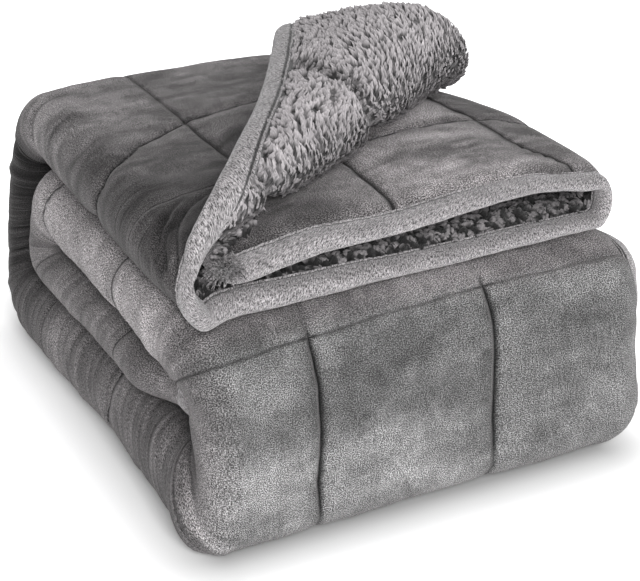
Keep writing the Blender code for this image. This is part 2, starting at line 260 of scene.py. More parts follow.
def fold(t, s, h):
    t, s, h = (np.asarray(v, float) for v in (t, s, h))
    ca, sa = math.cos(PEEL_ANGLE), math.sin(PEEL_ANGLE)
    y_flat = WINDING[0][1][0] + s
    front = 1 - ease(0.14, 0.30, s)
    x_edge = X_BEND + LAP
    d_edge = (x_edge - PEEL_X) * sa - (y_flat - PEEL_Y) * ca
    w = ease(-0.05, 0.06, d_edge)
    slack = LAP_SLACK * ease(1.10, 1.17, s) * (1 - ease(1.38, 1.45, s))
    bend = (1 - w) * (1 - slack) / R_LAP - w / R_CURL
    x, m, nx, nm = section(t, s, X_TURN_R + (X_OPEN_R - X_TURN_R) * front, bend)
    x, m = x + nx * h, m + nm * h
    n = m / THICK
    yz = winding(s, n)
    y, z = yz[:, 0].copy(), yz[:, 1].copy()
    z += looseness(x, y_flat) * lifted(t) * (s < 0.4)
    q = (t < T_LEFT) & (s < 0.45)
    d = (x - PEEL_X) * sa - (y_flat - PEEL_Y) * ca
    q &= d > 0
    if q.any():
        r = (x[q] - PEEL_X) * ca + (y_flat[q] - PEEL_Y) * sa
        fx, fy = PEEL_X + r * ca, PEEL_Y + r * sa
        radius = PEEL_R0 + (PEEL_R1 - PEEL_R0) * ease(0.0, 0.30, r)
        u, v, a = roll(d[q], radius)
        off = m[q] - M_OUT
        side = u - np.sin(a) * off
        x[q] = fx + side * sa
        y[q] = fy - side * ca
        z[q] = WINDING[0][2][1] + M_OUT + looseness(fx, fy) + v + np.cos(a) * off
    x, y, z = settle(x, y, z, s)
    right, back, up = set_off(t, s)
    return np.stack([x - CENTRE_X + right, y - CENTRE_Y + back, z + up], 1)


# ---- noise ----------------------------------------------------------------
def rnd(ix, iy, k=0):
    n = (ix.astype(np.int64) * 73856093) ^ (iy.astype(np.int64) * 19349663) ^ (k * 83492791 + 12345)
    n = ((n ^ (n >> 13)) * 1274126177) & 0xFFFFFFFF
    n = ((n ^ (n >> 15)) * 2246822519) & 0xFFFFFFFF
    return ((n ^ (n >> 16)) & 0xFFFFFF) / float(0xFFFFFF)


def smooth_noise(x, y, k=0):
    """Value noise, -1 to 1, at unit scale."""
    ix, iy = np.floor(x), np.floor(y)
    fx, fy = x - ix, y - iy
    fx, fy = fx * fx * fx * (fx * (fx * 6 - 15) + 10), fy * fy * fy * (fy * (fy * 6 - 15) + 10)
    a, b = rnd(ix, iy, k), rnd(ix + 1, iy, k)
    c, d = rnd(ix, iy + 1, k), rnd(ix + 1, iy + 1, k)
    return 2 * (a + (b - a) * fx + (c - a) * fy + (a - b - c + d) * fx * fy) - 1


def fbm(x, y, octaves=3, k=0):
    out, amp, total = np.zeros_like(x), 1.0, 0.0
    for i in range(octaves):
        out += amp * smooth_noise(x * 2 ** i + 17.3 * i, y * 2 ** i - 9.1 * i, k + i)
        total += amp
        amp *= 0.5
    return out / total


def cells(x, y, k=0, spread=0.85):
    """Nearest and second nearest distance to scattered points, and the nearest one's number."""
    ix, iy = np.floor(x), np.floor(y)
    f1, f2, who = np.full(x.shape, 9.0), np.full(x.shape, 9.0), np.zeros_like(x)
    ox, oy = np.zeros_like(x), np.zeros_like(x)
    for dx in (-1, 0, 1):
        for dy in (-1, 0, 1):
            cx, cy = ix + dx, iy + dy
            px = cx + 0.5 + spread * (rnd(cx, cy, k) - 0.5)
            py = cy + 0.5 + spread * (rnd(cx, cy, k + 7) - 0.5)
            d = np.hypot(px - x, py - y)
            near = d < f1
            f2 = np.where(near, f1, np.minimum(f2, d))
            who = np.where(near, rnd(cx, cy, k + 13), who)
            ox, oy = np.where(near, x - px, ox), np.where(near, y - py, oy)
            f1 = np.where(near, d, f1)
    return f1, f2, who, ox, oy


# ---- quilting -------------------------------------------------------------
# Stitched lines and soft creases, each as a run of (where along it, its place, how deep).
# Lines that run lengthwise: s, t, depth
LENGTHWISE = (
    ("outer seam",   ((0.000, 0.120, 1.0), (0.027, 0.143, 1.0), (0.048, 0.166, 1.0), (0.068, 0.176, 1.0),
                      (0.090, 0.182, 1.0), (0.123, 0.175, 1.0), (0.250, 0.150, 1.0), (0.370, 0.143, 0.5),
                      (0.420, 0.143, 0.1), (0.560, 0.143, 0.4), (1.100, 0.143, 0.1), (1.180, 0.143, 0.4),
                      (1.220, 0.143, 1.0), (1.340, 0.143, 0.9), (1.356, 0.143, 0.1), (1.420, 0.143, 0.1), (2.200, 0.143, 0.5))),
    ("second seam",  ((0.000, 0.312, 0.6), (0.060, 0.302, 0.8), (0.220, 0.302, 0.7), (0.270, 0.302, 0.35), (0.370, 0.302, 0.4), (0.420, 0.302, 0.1),
                      (0.560, 0.302, 0.4), (1.100, 0.302, 0.1), (1.170, 0.302, 0.4), (1.200, 0.303, 1.3),
                      (1.250, 0.300, 1.3), (1.328, 0.303, 1.0), (1.348, 0.303, 0.1), (1.420, 0.302, 0.1), (2.200, 0.302, 0.5))),
    ("third seam",   ((0.000, 0.470, 0.5), (2.200, 0.470, 0.5))),
    ("fourth seam",  ((0.000, 0.640, 0.5), (2.200, 0.640, 0.5))),
    ("fifth seam",   ((0.000, 0.828, 1.0), (0.030, 0.830, 1.0), (0.080, 0.847, 1.0), (0.300, 0.850, 1.0), (0.800, 0.827, 0.5))),
    ("sixth seam",   ((0.000, 0.987, 1.0), (0.150, 0.981, 1.0), (2.200, 0.978, 0.5))),
)
# Lines that run across the width: t, s, depth
CROSSWISE = (
    ("first",        ((0.000, 0.090, 0.0), (0.780, 0.090, 0.0), (0.830, 0.150, 1.0), (1.200, 0.150, 1.0))),
    ("second",       ((0.000, 0.253, 1.0), (0.262, 0.253, 1.0), (0.295, 0.249, 1.0), (0.352, 0.219, 1.0), (0.384, 0.187, 1.0),
                      (0.402, 0.172, 1.0), (0.424, 0.182, 0.9), (0.480, 0.280, 1.0), (1.200, 0.318, 1.0))),
    ("over the back", ((0.000, 0.440, 0.1), (0.400, 0.440, 0.1), (1.200, 0.480, 0.5))),
    ("back",         ((0.000, 0.600, 0.3), (1.200, 0.630, 0.3))),
    ("under",        ((0.000, 0.790, 0.3), (1.200, 0.795, 0.3))),
    ("under left",   ((0.000, 0.975, 0.5), (0.380, 0.975, 0.8), (0.405, 0.947, 1.0), (0.420, 0.968, 1.0), (1.200, 0.980, 0.5))),
    ("foot",         ((0.000, 1.150, 0.0), (1.200, 1.150, 0.0))),
    ("shoulder",     ((0.000, 1.350, 0.10), (0.060, 1.348, 0.12), (0.149, 1.345, 0.16), (0.305, 1.336, 0.22), (0.400, 1.329, 0.30),
                      (1.200, 1.320, 0.5))),
    ("fold",         ((0.000, 1.503, 0.8), (1.200, 1.503, 0.8))),
    ("fold low",     ((0.000, 1.672, 0.8), (0.390, 1.676, 0.8), (0.420, 1.692, 0.8), (1.200, 1.680, 0.8))),
    ("tuck",         ((0.000, 1.850, 0.8), (1.200, 1.850, 0.8))),
    ("tuck end",     ((0.000, 2.069, 0.8), (0.420, 2.055, 0.8), (1.200, 2.060, 0.8))),
)
# soft creases that are not stitched, on top of the seams above
CREASES = (
    ("soft roll",    ((0.290, 0.110, 0.0), (0.351, 0.075, 0.9), (0.375, 0.050, 1.2), (0.388, 0.030, 1.2), (0.404, 0.020, 0.6))),
    ("soft roll 2",  ((0.340, 0.064, 0.0), (0.357, 0.062, 0.5), (0.390, 0.052, 1.0), (0.400, 0.040, 1.0), (0.412, 0.026, 0.2))),
    ("soft roll 3",  ((0.355, 0.088, 0.0), (0.372, 0.078, 0.7), (0.398, 0.054, 0.8), (0.412, 0.050, 0.0))),
    ("back crease",  ((0.330, 0.385, 0.0), (0.387, 0.372, 0.7), (0.414, 0.366, 0.7), (0.440, 0.360, 0.0))),
)


def line_gaps(t, s):
    """For every line: distance to it, its depth there, and the distance run along it."""
    out = []
    for rows, along, across in ((LENGTHWISE, s, t), (CROSSWISE, t, s), (CREASES, t, s)):
        for k, (name, knots) in enumerate(rows):
            a, place, depth = (np.array(c) for c in zip(*knots))
            p = np.interp(along, a, place) + 0.0008 * smooth_noise(along * 45, along * 0 + k, 41)
            out.append((np.abs(across - p), np.interp(along, a, depth), along))
    return out


def counted(rows, along, across, pitch=0.16):
    """Which stitched line a place is at, running smoothly from one whole number to the next."""
    places = []
    for k, (name, knots) in enumerate(rows):
        a, place, depth = (np.array(c) for c in zip(*knots))
        places.append(np.interp(along, a, place) + 0.0008 * smooth_noise(along * 45, along * 0 + k, 41))
    out = np.minimum(0, (across - places[0]) / pitch) + np.maximum(0, (across - places[-1]) / pitch)
    for p, q in zip(places[:-1], places[1:]):
        out += np.clip((across - p) / (q - p), 0, 1)
    return out


def seam_sum(t, s, sharp, wide):
    """Depth 0..1 of the sharp crease at the thread and of the wide fall towards it."""
    a, b = np.zeros_like(t), np.zeros_like(t)
    for gap, depth, _ in line_gaps(t, s):
        a = np.maximum(a, depth * np.exp(-(gap / sharp)))
        b = np.maximum(b, depth * np.exp(-(gap / wide) ** 1.6))
    return a, b


def border(t, s):
    return np.minimum(np.minimum(t, T_END - t), np.minimum(s, S_END - s))


# soft wrinkles:  across, along, heading, length, width, height; heading 0 runs across the width
WRINKLES = (
    ("by the flap",    0.366, 0.052, -0.80, 0.035, 0.0050, 0.0026),
    ("by the flap, 2", 0.380, 0.060, -0.75, 0.030, 0.0045, 0.0024),
    ("by the flap, 3", 0.398, 0.062, -0.90, 0.024, 0.0040, 0.0020),
    ("by the flap, 4", 0.330, 0.130, 0.40, 0.045, 0.0090, -0.0018),
    ("on top",         0.350, 0.290, 0.20, 0.050, 0.010, -0.0018),
    ("on top, back",   0.250, 0.345, -0.10, 0.060, 0.010, 0.0016),
    ("front high",     0.075, 1.300, 0.10, 0.050, 0.010, -0.0022),
    ("front right",    0.040, 1.215, 0.90, 0.050, 0.009, 0.0022),
    ("front mid",      0.230, 1.300, -0.25, 0.050, 0.008, -0.0016),
    ("front left",     0.370, 1.290, 0.35, 0.040, 0.008, 0.0020),
    ("front foot",     0.400, 1.160, 1.10, 0.040, 0.005, -0.0010),
    ("front foot, 2",  0.384, 1.150, 1.00, 0.035, 0.005, 0.0008),
    ("left low",       0.410, 1.060, 0.15, 0.060, 0.005, -0.0010),
    ("left low, 2",    0.415, 1.015, 0.10, 0.060, 0.005, 0.0008),
    ("left low, 3",    0.405, 0.925, -0.15, 0.060, 0.005, -0.0011),
    ("left low, 4",    0.412, 0.880, 0.12, 0.055, 0.005, 0.0009),
    ("left low, 5",    0.412, 0.845, -0.05, 0.055, 0.005, -0.0011),
    ("left low, 6",    0.412, 0.815, -0.20, 0.050, 0.005, 0.0008),
    ("left low, 7",    0.412, 0.772, -0.30, 0.045, 0.005, -0.0009),
    ("back left",      0.405, 0.700, -0.10, 0.050, 0.006, -0.0015),
    ("back left, 2",   0.405, 0.655, 0.10, 0.050, 0.006, 0.0013),
    ("over, left",     0.425, 0.460, 0.20, 0.040, 0.006, -0.0030),
    ("over, left 2",   0.425, 0.500, -0.10, 0.040, 0.006, 0.0026),
    ("fold, left 3",   0.425, 1.520, 0.10, 0.040, 0.006, -0.0026),
    ("fold, left 4",   0.425, 1.480, -0.15, 0.040, 0.006, -0.0024),
    ("fold, left",     0.405, 1.590, 0.15, 0.050, 0.010, -0.0012),
    ("fold, left 2",   0.405, 1.430, -0.20, 0.050, 0.009, 0.0013),
    ("tuck, left",     0.410, 1.950, 0.15, 0.050, 0.010, 0.0011),
    ("tucked third",   0.900, 0.220, 0.50, 0.045, 0.009, 0.0016),
    ("tucked third 2", 1.050, 0.120, -0.40, 0.045, 0.009, -0.0016),
)


def wrinkled(t, s):
    out = np.zeros_like(t)
    for _, t0, s0, heading, length, width, high in WRINKLES:
        u = (t - t0) * math.cos(heading) + (s - s0) * math.sin(heading)
        v = -(t - t0) * math.sin(heading) + (s - s0) * math.cos(heading)
        v = v + 0.12 * u * u / length
        out += high * np.exp(-(u / length) ** 2 - (v / width) ** 2)
    return out


def relief(t, s):
    """How far the velvet stands above its nominal height."""
    sharp, wide = seam_sum(t, s, 0.0026, 0.016)
    # it is drawn tighter round the outer turns
    edge = np.maximum(np.exp(-((t - 0.415) / 0.040) ** 2) * ease(0.42, 0.60, s),
                      np.exp(-((t - 0.825) / 0.040) ** 2) * (1 - ease(0.36, 0.42, s)))
    out = -0.0038 * sharp * (1 - 0.5 * edge) - 0.0030 * wide * (1 - 0.75 * edge)
    # short gathers that run off the seams
    for gap, depth, along in line_gaps(t, s):
        out += (0.0007 * smooth_noise(along * 150, gap * 40, 3) * depth
                * np.exp(-(gap / 0.011) ** 2) * ease(0.0, 0.003, gap))
    # slow unevenness of the filling, and the wrinkles
    out += 0.0016 * (1 - 0.7 * edge) * fbm(t * 14, s * 14, 3, 5) + 0.0004 * fbm(t * 60, s * 45, 2, 9)
    out += wrinkled(t, s)
    # the sides of the folds are rumpled
    side = np.exp(-((t - 0.415) / 0.05) ** 2) * ease(0.42, 0.60, s)
    out += side * (0.0005 * fbm(t * 9, s * 24, 2, 12) + 0.0006 * fbm(t * 14, s * 95, 2, 14))
    # the front's left edge falls straight, to a filled corner at the foot
    out -= 0.0125 * np.exp(-((t - 0.424) / 0.022) ** 2) * ease(1.145, 1.180, s) * (1 - ease(1.190, 1.255, s))
    out += 0.0060 * np.exp(-((t - 0.404) / 0.016) ** 2 - ((s - 1.138) / 0.020) ** 2)
    # the front face swells between foot and shoulder
    out += 0.005 * np.sin(np.pi * np.clip((s - 1.14) / 0.22, 0, 1)) * (1 - ease(0.35, 0.42, t))
    # it dips where the binding holds it
    b = border(t, s) - EDGE
    out -= 0.0030 * np.exp(-(np.maximum(b, 0) / 0.006))
    return out


# ---- painted light and shade on the velvet, with its crushed patches ------
# painted light and shade by place:  across, along, reach across, along, factor
PAINTED_LIGHT_BY_PLACE = (
    ("top, back left",   0.370, 0.330, 0.060, 0.060, 0.95),
    ("top, mid left",    0.360, 0.200, 0.060, 0.060, 0.57),
    ("top, back",        0.220, 0.330, 0.080, 0.050, 0.78),
    ("top, front left",  0.390, 0.100, 0.050, 0.060, 0.24),
    ("tucked, left",     1.060, 0.060, 0.050, 0.080, 0.55),
    ("tucked, high",     1.020, 0.190, 0.080, 0.060, 0.80),
    ("tucked, middle",   0.965, 0.110, 0.045, 0.080, 1.25),
    ("tucked, mid right", 0.890, 0.110, 0.035, 0.080, 1.65),
    ("tucked, right",    0.835, 0.090, 0.035, 0.120, 0.85),
    ("back band",        0.415, 0.520, 0.050, 0.080, 0.05),
    ("back low",         0.415, 0.690, 0.050, 0.080, 0.22),
    ("back, wide",       0.180, 0.520, 0.140, 0.090, 0.85),
    ("back low, wide",   0.180, 0.690, 0.140, 0.090, 0.80),
    ("underneath",       0.190, 0.950, 0.140, 0.120, 0.90),
    ("front edge, side", 0.434, 1.180, 0.018, 0.055, 0.42),
    ("below, left",      0.410, 0.900, 0.080, 0.110, 0.80),
    ("below, far left",  0.410, 1.070, 0.080, 0.060, 0.50),
    ("front, high left", 0.340, 1.300, 0.070, 0.030, 0.80),
    ("front, low left",  0.345, 1.195, 0.060, 0.040, 1.42),
    ("front, high",      0.220, 1.300, 0.060, 0.030, 0.64),
    ("front, low",       0.220, 1.190, 0.070, 0.040, 1.40),
    ("front, right",     0.070, 1.290, 0.060, 0.030, 0.89),
    ("front, low right", 0.070, 1.200, 0.060, 0.035, 0.94),
    ("front, top",       0.200, 1.340, 0.110, 0.014, 1.05),
    ("shoulder, left",   0.375, 1.345, 0.030, 0.020, 0.60),
    ("shoulder",         0.250, 1.370, 0.150, 0.020, 1.10),
    ("fold",             0.400, 1.560, 0.080, 0.120, 1.80),
    ("tuck",             0.400, 1.980, 0.080, 0.150, 0.85),
)


def nap(t, s):
    """Lightness painted on the velvet, 1 in the mean: painted light and shade by place, random crushed patches, and
    painted shade in seams and creases with painted highlights beside them.
    """
    w_sum, v_sum = np.full(t.shape, 1e-3), np.full(t.shape, 1e-3)
    for _, t0, s0, rt, rs, v in PAINTED_LIGHT_BY_PLACE:
        w = np.exp(-((t - t0) / rt) ** 2 - ((s - s0) / rs) ** 2)
        w_sum += w
        v_sum += w * v
    painted_light_by_place = v_sum / w_sum
    # crushed patches, drawn out lengthwise, with soft-edged shapes
    wx = t + 0.012 * fbm(t * 30, s * 30, 2, 71)
    wy = s + 0.012 * fbm(t * 30 + 9, s * 30, 2, 73)
    patch = fbm(wx * 17, wy * 34, 3, 75)
    patch = np.tanh(patch * 2.8)
    small = np.tanh(2.8 * fbm(wx * 45, wy * 120, 2, 77))
    # strongest on top, weak where the fold pulls it smooth
    top = 1 - ease(0.40, 0.46, s)
    smooth = ease(1.38, 1.42, s) * (1 - ease(1.72, 1.78, s)) * ease(0.36, 0.40, t)
    patch = patch * (1 + 0.80 * top - 0.65 * smooth)
    small = small * (1 + 1.60 * top - 0.60 * smooth)
    # painted highlight on the shoulders of the seams and painted shade in them; painted light and shade on the
    # wrinkles' ridges and hollows and beside soft creases
    sharp, wide = seam_sum(t, s, 0.0035, 0.016)
    valley = seam_sum(t, s, 0.0035, 0.007)[1]
    rim = np.clip(wide - valley, 0, 1)
    crease = np.clip(110 * wrinkled(t, s), -0.42, 0.30) + soft_shade(t, s)
    fleck = np.tanh(2.5 * fbm(wx * 110 + 5, wy * 260, 2, 79)) * (0.4 + 0.6 * top)
    # painted light and shade by place, times crushed patches and painted shade of seams and creases
    return (painted_light_by_place * (1 + 0.24 * patch + 0.11 * small + 0.10 * fleck) * (1 - 0.30 * sharp) * (1 - 0.26 * valley) * (1 + 0.20 * rim)
            * np.clip(1 + crease, 0.3, 1.6))


def soft_shade(t, s):
    """Painted shade on one side of a soft crease or a front seam, painted light on the other."""
    out = np.zeros_like(t)
    for name, knots in CREASES:
        a, place, depth = (np.array(c) for c in zip(*knots))
        d = s - np.interp(t, a, place, right=9.0)
        out += np.interp(t, a, depth) * (0.30 * np.exp(-((d - 0.006) / 0.0045) ** 2) - 0.42 * np.exp(-((d + 0.0035) / 0.0045) ** 2))
    for name, knots in LENGTHWISE[:2]:
        a, place, depth = (np.array(c) for c in zip(*knots))
        d = t - np.interp(s, a, place)
        front = ease(1.14, 1.18, s) * (1 - ease(1.32, 1.35, s))
        out += front * np.where(d > 0, -0.32 * np.exp(-np.abs(d) / 0.012), 0.14 * np.exp(-np.abs(d) / 0.012))
    return out


def velvet_attrs(t, s):
    front = ease(1.13, 1.17, s) * (1 - ease(1.33, 1.36, s)) * (1 - ease(0.37, 0.42, t))
    sewn = np.zeros_like(t)
    for gap, depth, _ in line_gaps(t, s):
        sewn = np.maximum(sewn, np.clip(1.7 * depth - 0.06, 0, 1) * np.exp(-(gap / 0.010) ** 4))
    side = np.exp(-((t - 0.412) / 0.042) ** 4)
    loose = ease(0.42, 0.50, s) * (1 - 0.85 * ease(1.38, 1.42, s) * (1 - ease(1.70, 1.76, s))) * (1 - ease(1.16, 1.20, s) * (1 - ease(1.30, 1.36, s)))
    patchy = ease(-0.25, 0.35, fbm(t * 12, s * 16, 2, 88))
    loose = loose * (1 - 0.6 * ease(1.74, 1.80, s))
    # the rumpled sides of the folds, which the material bumps and paints with shade in their streaks
    folds = side * np.clip(loose * (0.45 + 0.55 * patchy) + 0.35 * (1 - ease(0.10, 0.16, s)), 0, 1)
    # the velvet's painted light and shade, with its crushed patches, goes to the material as an attribute
    return {"nap": nap(t, s), "warm": 1 - 0.85 * front, "sewn": sewn, "rumpled": folds,
            "seam_t": counted(LENGTHWISE, s, t), "seam_s": counted(CROSSWISE, t, s)}


# ---- meshes ---------------------------------------------------------------
def make_mesh(name, parts, smooth=True):
    """parts: (vertices, quads, uv per vertex, {attribute: value per vertex})."""
    verts, quads, uvs, start = [], [], [], 0
    names = sorted({k for p in parts for k in p[3]})
    extra = {k: [] for k in names}
    for v, q, uv, att in parts:
        verts.append(v)
        quads.append(q + start)
        uvs.append(uv)
        for k in names:
            extra[k].append(att.get(k, np.zeros(len(v))))
        start += len(v)
    v, q, uv = np.concatenate(verts), np.concatenate(quads), np.concatenate(uvs)
    n = q.shape[1]
    me = bpy.data.meshes.new(name)
    me.vertices.add(len(v))
    me.vertices.foreach_set("co", v.astype(np.float32).ravel())
    me.loops.add(q.size)
    me.loops.foreach_set("vertex_index", q.astype(np.int32).ravel())
    me.polygons.add(len(q))
    me.polygons.foreach_set("loop_start", np.arange(0, q.size, n, dtype=np.int32))
    layer = me.uv_layers.new(name="cloth", do_init=False)
    layer.uv.foreach_set("vector", uv[q.ravel()].astype(np.float32).ravel())
    for k in names:
        a = me.attributes.new(k, "FLOAT", "POINT")
        a.data.foreach_set("value", np.concatenate(extra[k]).astype(np.float32))
    me.update(calc_edges=True)
    me.validate()
    if smooth:
        me.shade_smooth()
    ob = bpy.data.objects.new(name, me)
    bpy.context.scene.collection.objects.link(ob)
    return ob


def grid(ts, ss, point, attrs=None, flip=False):
    t, s = (a.ravel() for a in np.meshgrid(ts, ss, indexing="ij"))
    v = point(t, s)
    i = np.arange(len(t)).reshape(len(ts), len(ss))
    q = np.stack([i[:-1, :-1], i[1:, :-1], i[1:, 1:], i[:-1, 1:]], -1).reshape(-1, 4)
    if flip:
        q = q[:, ::-1]
    return v, q, np.stack([t, s], 1), (attrs(t, s) if attrs else {})


def spaced(*runs):
    """Positions from (end, step) runs; the first entry is the start."""
    out = [runs[0]]
    for end, step in runs[1:]:
        n = max(1, int(round((end - out[-1]) / step)))
        out += list(out[-1] + (end - out[-1]) * (np.arange(n) + 1) / n)
    return np.array(out)


# ---- velvet ---------------------------------------------------------------
def velvet_point(t, s):
    p = fold(t, s, HALF + relief(t, s))
    p[:, 2] = np.maximum(p[:, 2], 0.0002)
    return p


IN = EDGE - 0.003
velvet_t = spaced(IN, (0.060, 0.0035), (0.138, 0.0040), (0.148, 0.0015), (0.297, 0.0042), (0.307, 0.0014), (0.36, 0.0040),
                  (0.46, 0.0033), (0.76, 0.016), (0.82, 0.005), (0.976, 0.0042), (0.992, 0.0020), (T_END - IN, 0.0042))
velvet_s = spaced(IN, (0.165, 0.0038), (0.260, 0.0026), (0.49, 0.0048), (0.74, 0.0050), (1.10, 0.0042),
                  (1.325, 0.0040), (1.355, 0.0020), (1.42, 0.0042), (1.72, 0.0048), (2.0, 0.009), (S_END - IN, 0.009))
hidden_s = np.concatenate([velvet_s[velvet_s < 0.40], velvet_s[velvet_s >= 0.40][::3], velvet_s[-1:]])
outer = velvet_t < 0.459
velvet = make_mesh("velvet_face", [
    grid(np.append(velvet_t[outer], velvet_t[~outer][0]), velvet_s, velvet_point, velvet_attrs, True),
    grid(velvet_t[~outer], np.unique(hidden_s), velvet_point, velvet_attrs, True)])

# ---- sherpa ---------------------------------------------------------------
COMB = math.atan2(0.34, 0.94)   # heading of the brushed pile on the turned-back corner, from t to s


def locks(t, s, wide, long, heading, pit, k):
    """Height 0..1 of the pile: lumpy locks that run together, with small pits where three of them meet."""
    c, d = math.cos(heading), math.sin(heading)
    u, v = t * c + s * d, -t * d + s * c
    u = u + 0.35 * wide * long * fbm(t * 0.45 / wide, s * 0.45 / wide, 2, k + 2)
    v = v + 0.55 * wide * fbm(t * 0.45 / wide + 5, s * 0.45 / wide, 2, k + 4)
    f1, f2, who, ox, oy = cells(u / (wide * long), v / wide, k)
    seam = np.clip((f2 - f1) * 3.2, 0, 1)
    tip = np.clip(0.5 + ox, 0, 1)
    high = 0.50 + 0.28 * seam + 0.22 * tip * seam
    high -= pit * ease(0.42, 0.80, f1 + 0.25 * ox)
    return np.clip(high * (0.75 + 0.25 * who), 0, 1.2)


def curls(t, s, wide, k):
    """Round curls of unbrushed pile, 0 in the pits between them to 1 at their tops."""
    x = t / wide + 0.35 * fbm(t * 0.6 / wide, s * 0.6 / wide, 2, k + 2)
    y = s / wide + 0.35 * fbm(t * 0.6 / wide + 5, s * 0.6 / wide, 2, k + 4)
    f1, f2, who, _, _ = cells(x, y, k)
    return np.clip(1 - (f1 / 0.66) ** 2, 0, 1) * (0.70 + 0.30 * who) * np.clip(0.25 + 2.6 * (f2 - f1), 0, 1)


def pile(t, s):
    """Sherpa height above its nominal surface, and how far it is brushed one way."""
    comb = ease(0.40, 0.36, t)
    a = locks(t, s, 0.0050, 2.7, COMB, 0.95, 21)
    b = locks(t, s, 0.0028, 2.8, COMB + 0.15, 0.6, 51)
    c, d = math.cos(COMB), math.sin(COMB)
    u, v = t * c + s * d, -t * d + s * c
    ridge = 1 - np.abs(fbm(u * 90 + 0.8 * fbm(t * 200, s * 200, 1, 29), v * 330, 2, 27)) * 2.4
    r, q = curls(t, s, 0.0078, 81), curls(t, s, 0.0032, 91)
    high = comb * (0.58 * a + 0.26 * b + 0.20 * ridge * a) + (1 - comb) * (0.86 * r + 0.20 * q * r)
    return np.clip(high, 0, 1.2), comb


def sherpa_relief(t, s, fine=True):
    sharp, wide = seam_sum(t, s, 0.0060, 0.018)
    out = (0.0038 + 0.0020 * (t < 0.40)) * sharp + 0.0030 * wide - 0.0015 * fbm(t * 14, s * 14, 3, 15)
    b = border(t, s) - EDGE
    out += 0.0030 * np.exp(-np.maximum(b, 0) / 0.006)
    return out


def clump(t, s):
    return 0.0016 * fbm(t * 45, s * 45, 2, 23)


def sherpa_point(t, s):
    high, comb = pile(t, s)
    edge = ease(0.010, 0.021, border(t, s))
    tall = 0.0088 - 0.0048 * comb
    up = (high - 0.50) * tall * (0.25 + 0.75 * edge) + (clump(t, s) - 0.0022 * edge) * comb
    return fold(t, s, -HALF + sherpa_relief(t, s) - up)


def sherpa_attrs(t, s):
    high, comb = pile(t, s)
    # painted shade: the unbrushed pile of the mouth is painted nearly black
    tone = comb + (1 - comb) * 0.035
    # painted shade: darker the deeper into the pile
    return {"deep": 1 - high + 0.22 * comb, "tone": tone}


# a strand of the brushed pile, root to tip
#   name       along it, half width, height, painted shade
STRAND = (
    ("root",     0.00,   0.80, -0.0050, 0.98),
    ("rising",   0.30,   1.00, -0.0014, 0.66),
    ("bend",     0.66,   0.95,  0.0014, 0.26),
    ("tip",      1.00,   0.28,  0.0018, 0.12),
)


def past_fold(t, s):
    """How far a place lies past the fold of the turned-back corner."""
    x, y = X_BEND + LAP - t, WINDING[0][1][0] + s
    return (x - PEEL_X) * math.sin(PEEL_ANGLE) - (y - PEEL_Y) * math.cos(PEEL_ANGLE)


def round_the_roll(t, s):
    """Share of the roll's turn that a place has gone through."""
    r = (X_BEND + LAP - t - PEEL_X) * math.cos(PEEL_ANGLE) + (WINDING[0][1][0] + s - PEEL_Y) * math.sin(PEEL_ANGLE)
    return past_fold(t, s) / (PEEL_TURN * (PEEL_R0 + (PEEL_R1 - PEEL_R0) * ease(0.0, 0.30, r)))


# a curl of the unbrushed pile, bent back over itself
# name       along it, half width, height, painted shade
CURL = (
    ("root",     0.00,   0.90, -0.0036, 1.00),
    ("rising",   0.40,   1.15,  0.0012, 0.62),
    ("over",     0.80,   1.25,  0.0024, 0.14),
    ("tucked",   1.00,   0.60, -0.0004, 0.70),
)


def brushed_way(t, s):
    return math.radians(187) + math.radians(103) * (1 - ease(0.30, 0.72, round_the_roll(t, s)))


def any_way(t, s):
    return 2 * math.pi * rnd(np.floor(t * 260), np.floor(s * 260), 77)


def on_sherpa(t, s, up):
    return fold(t, s, -HALF + sherpa_relief(t, s) - up)


def on_velvet(t, s, up):
    return fold(t, s, HALF + 0.0045 + 1.5 * up)


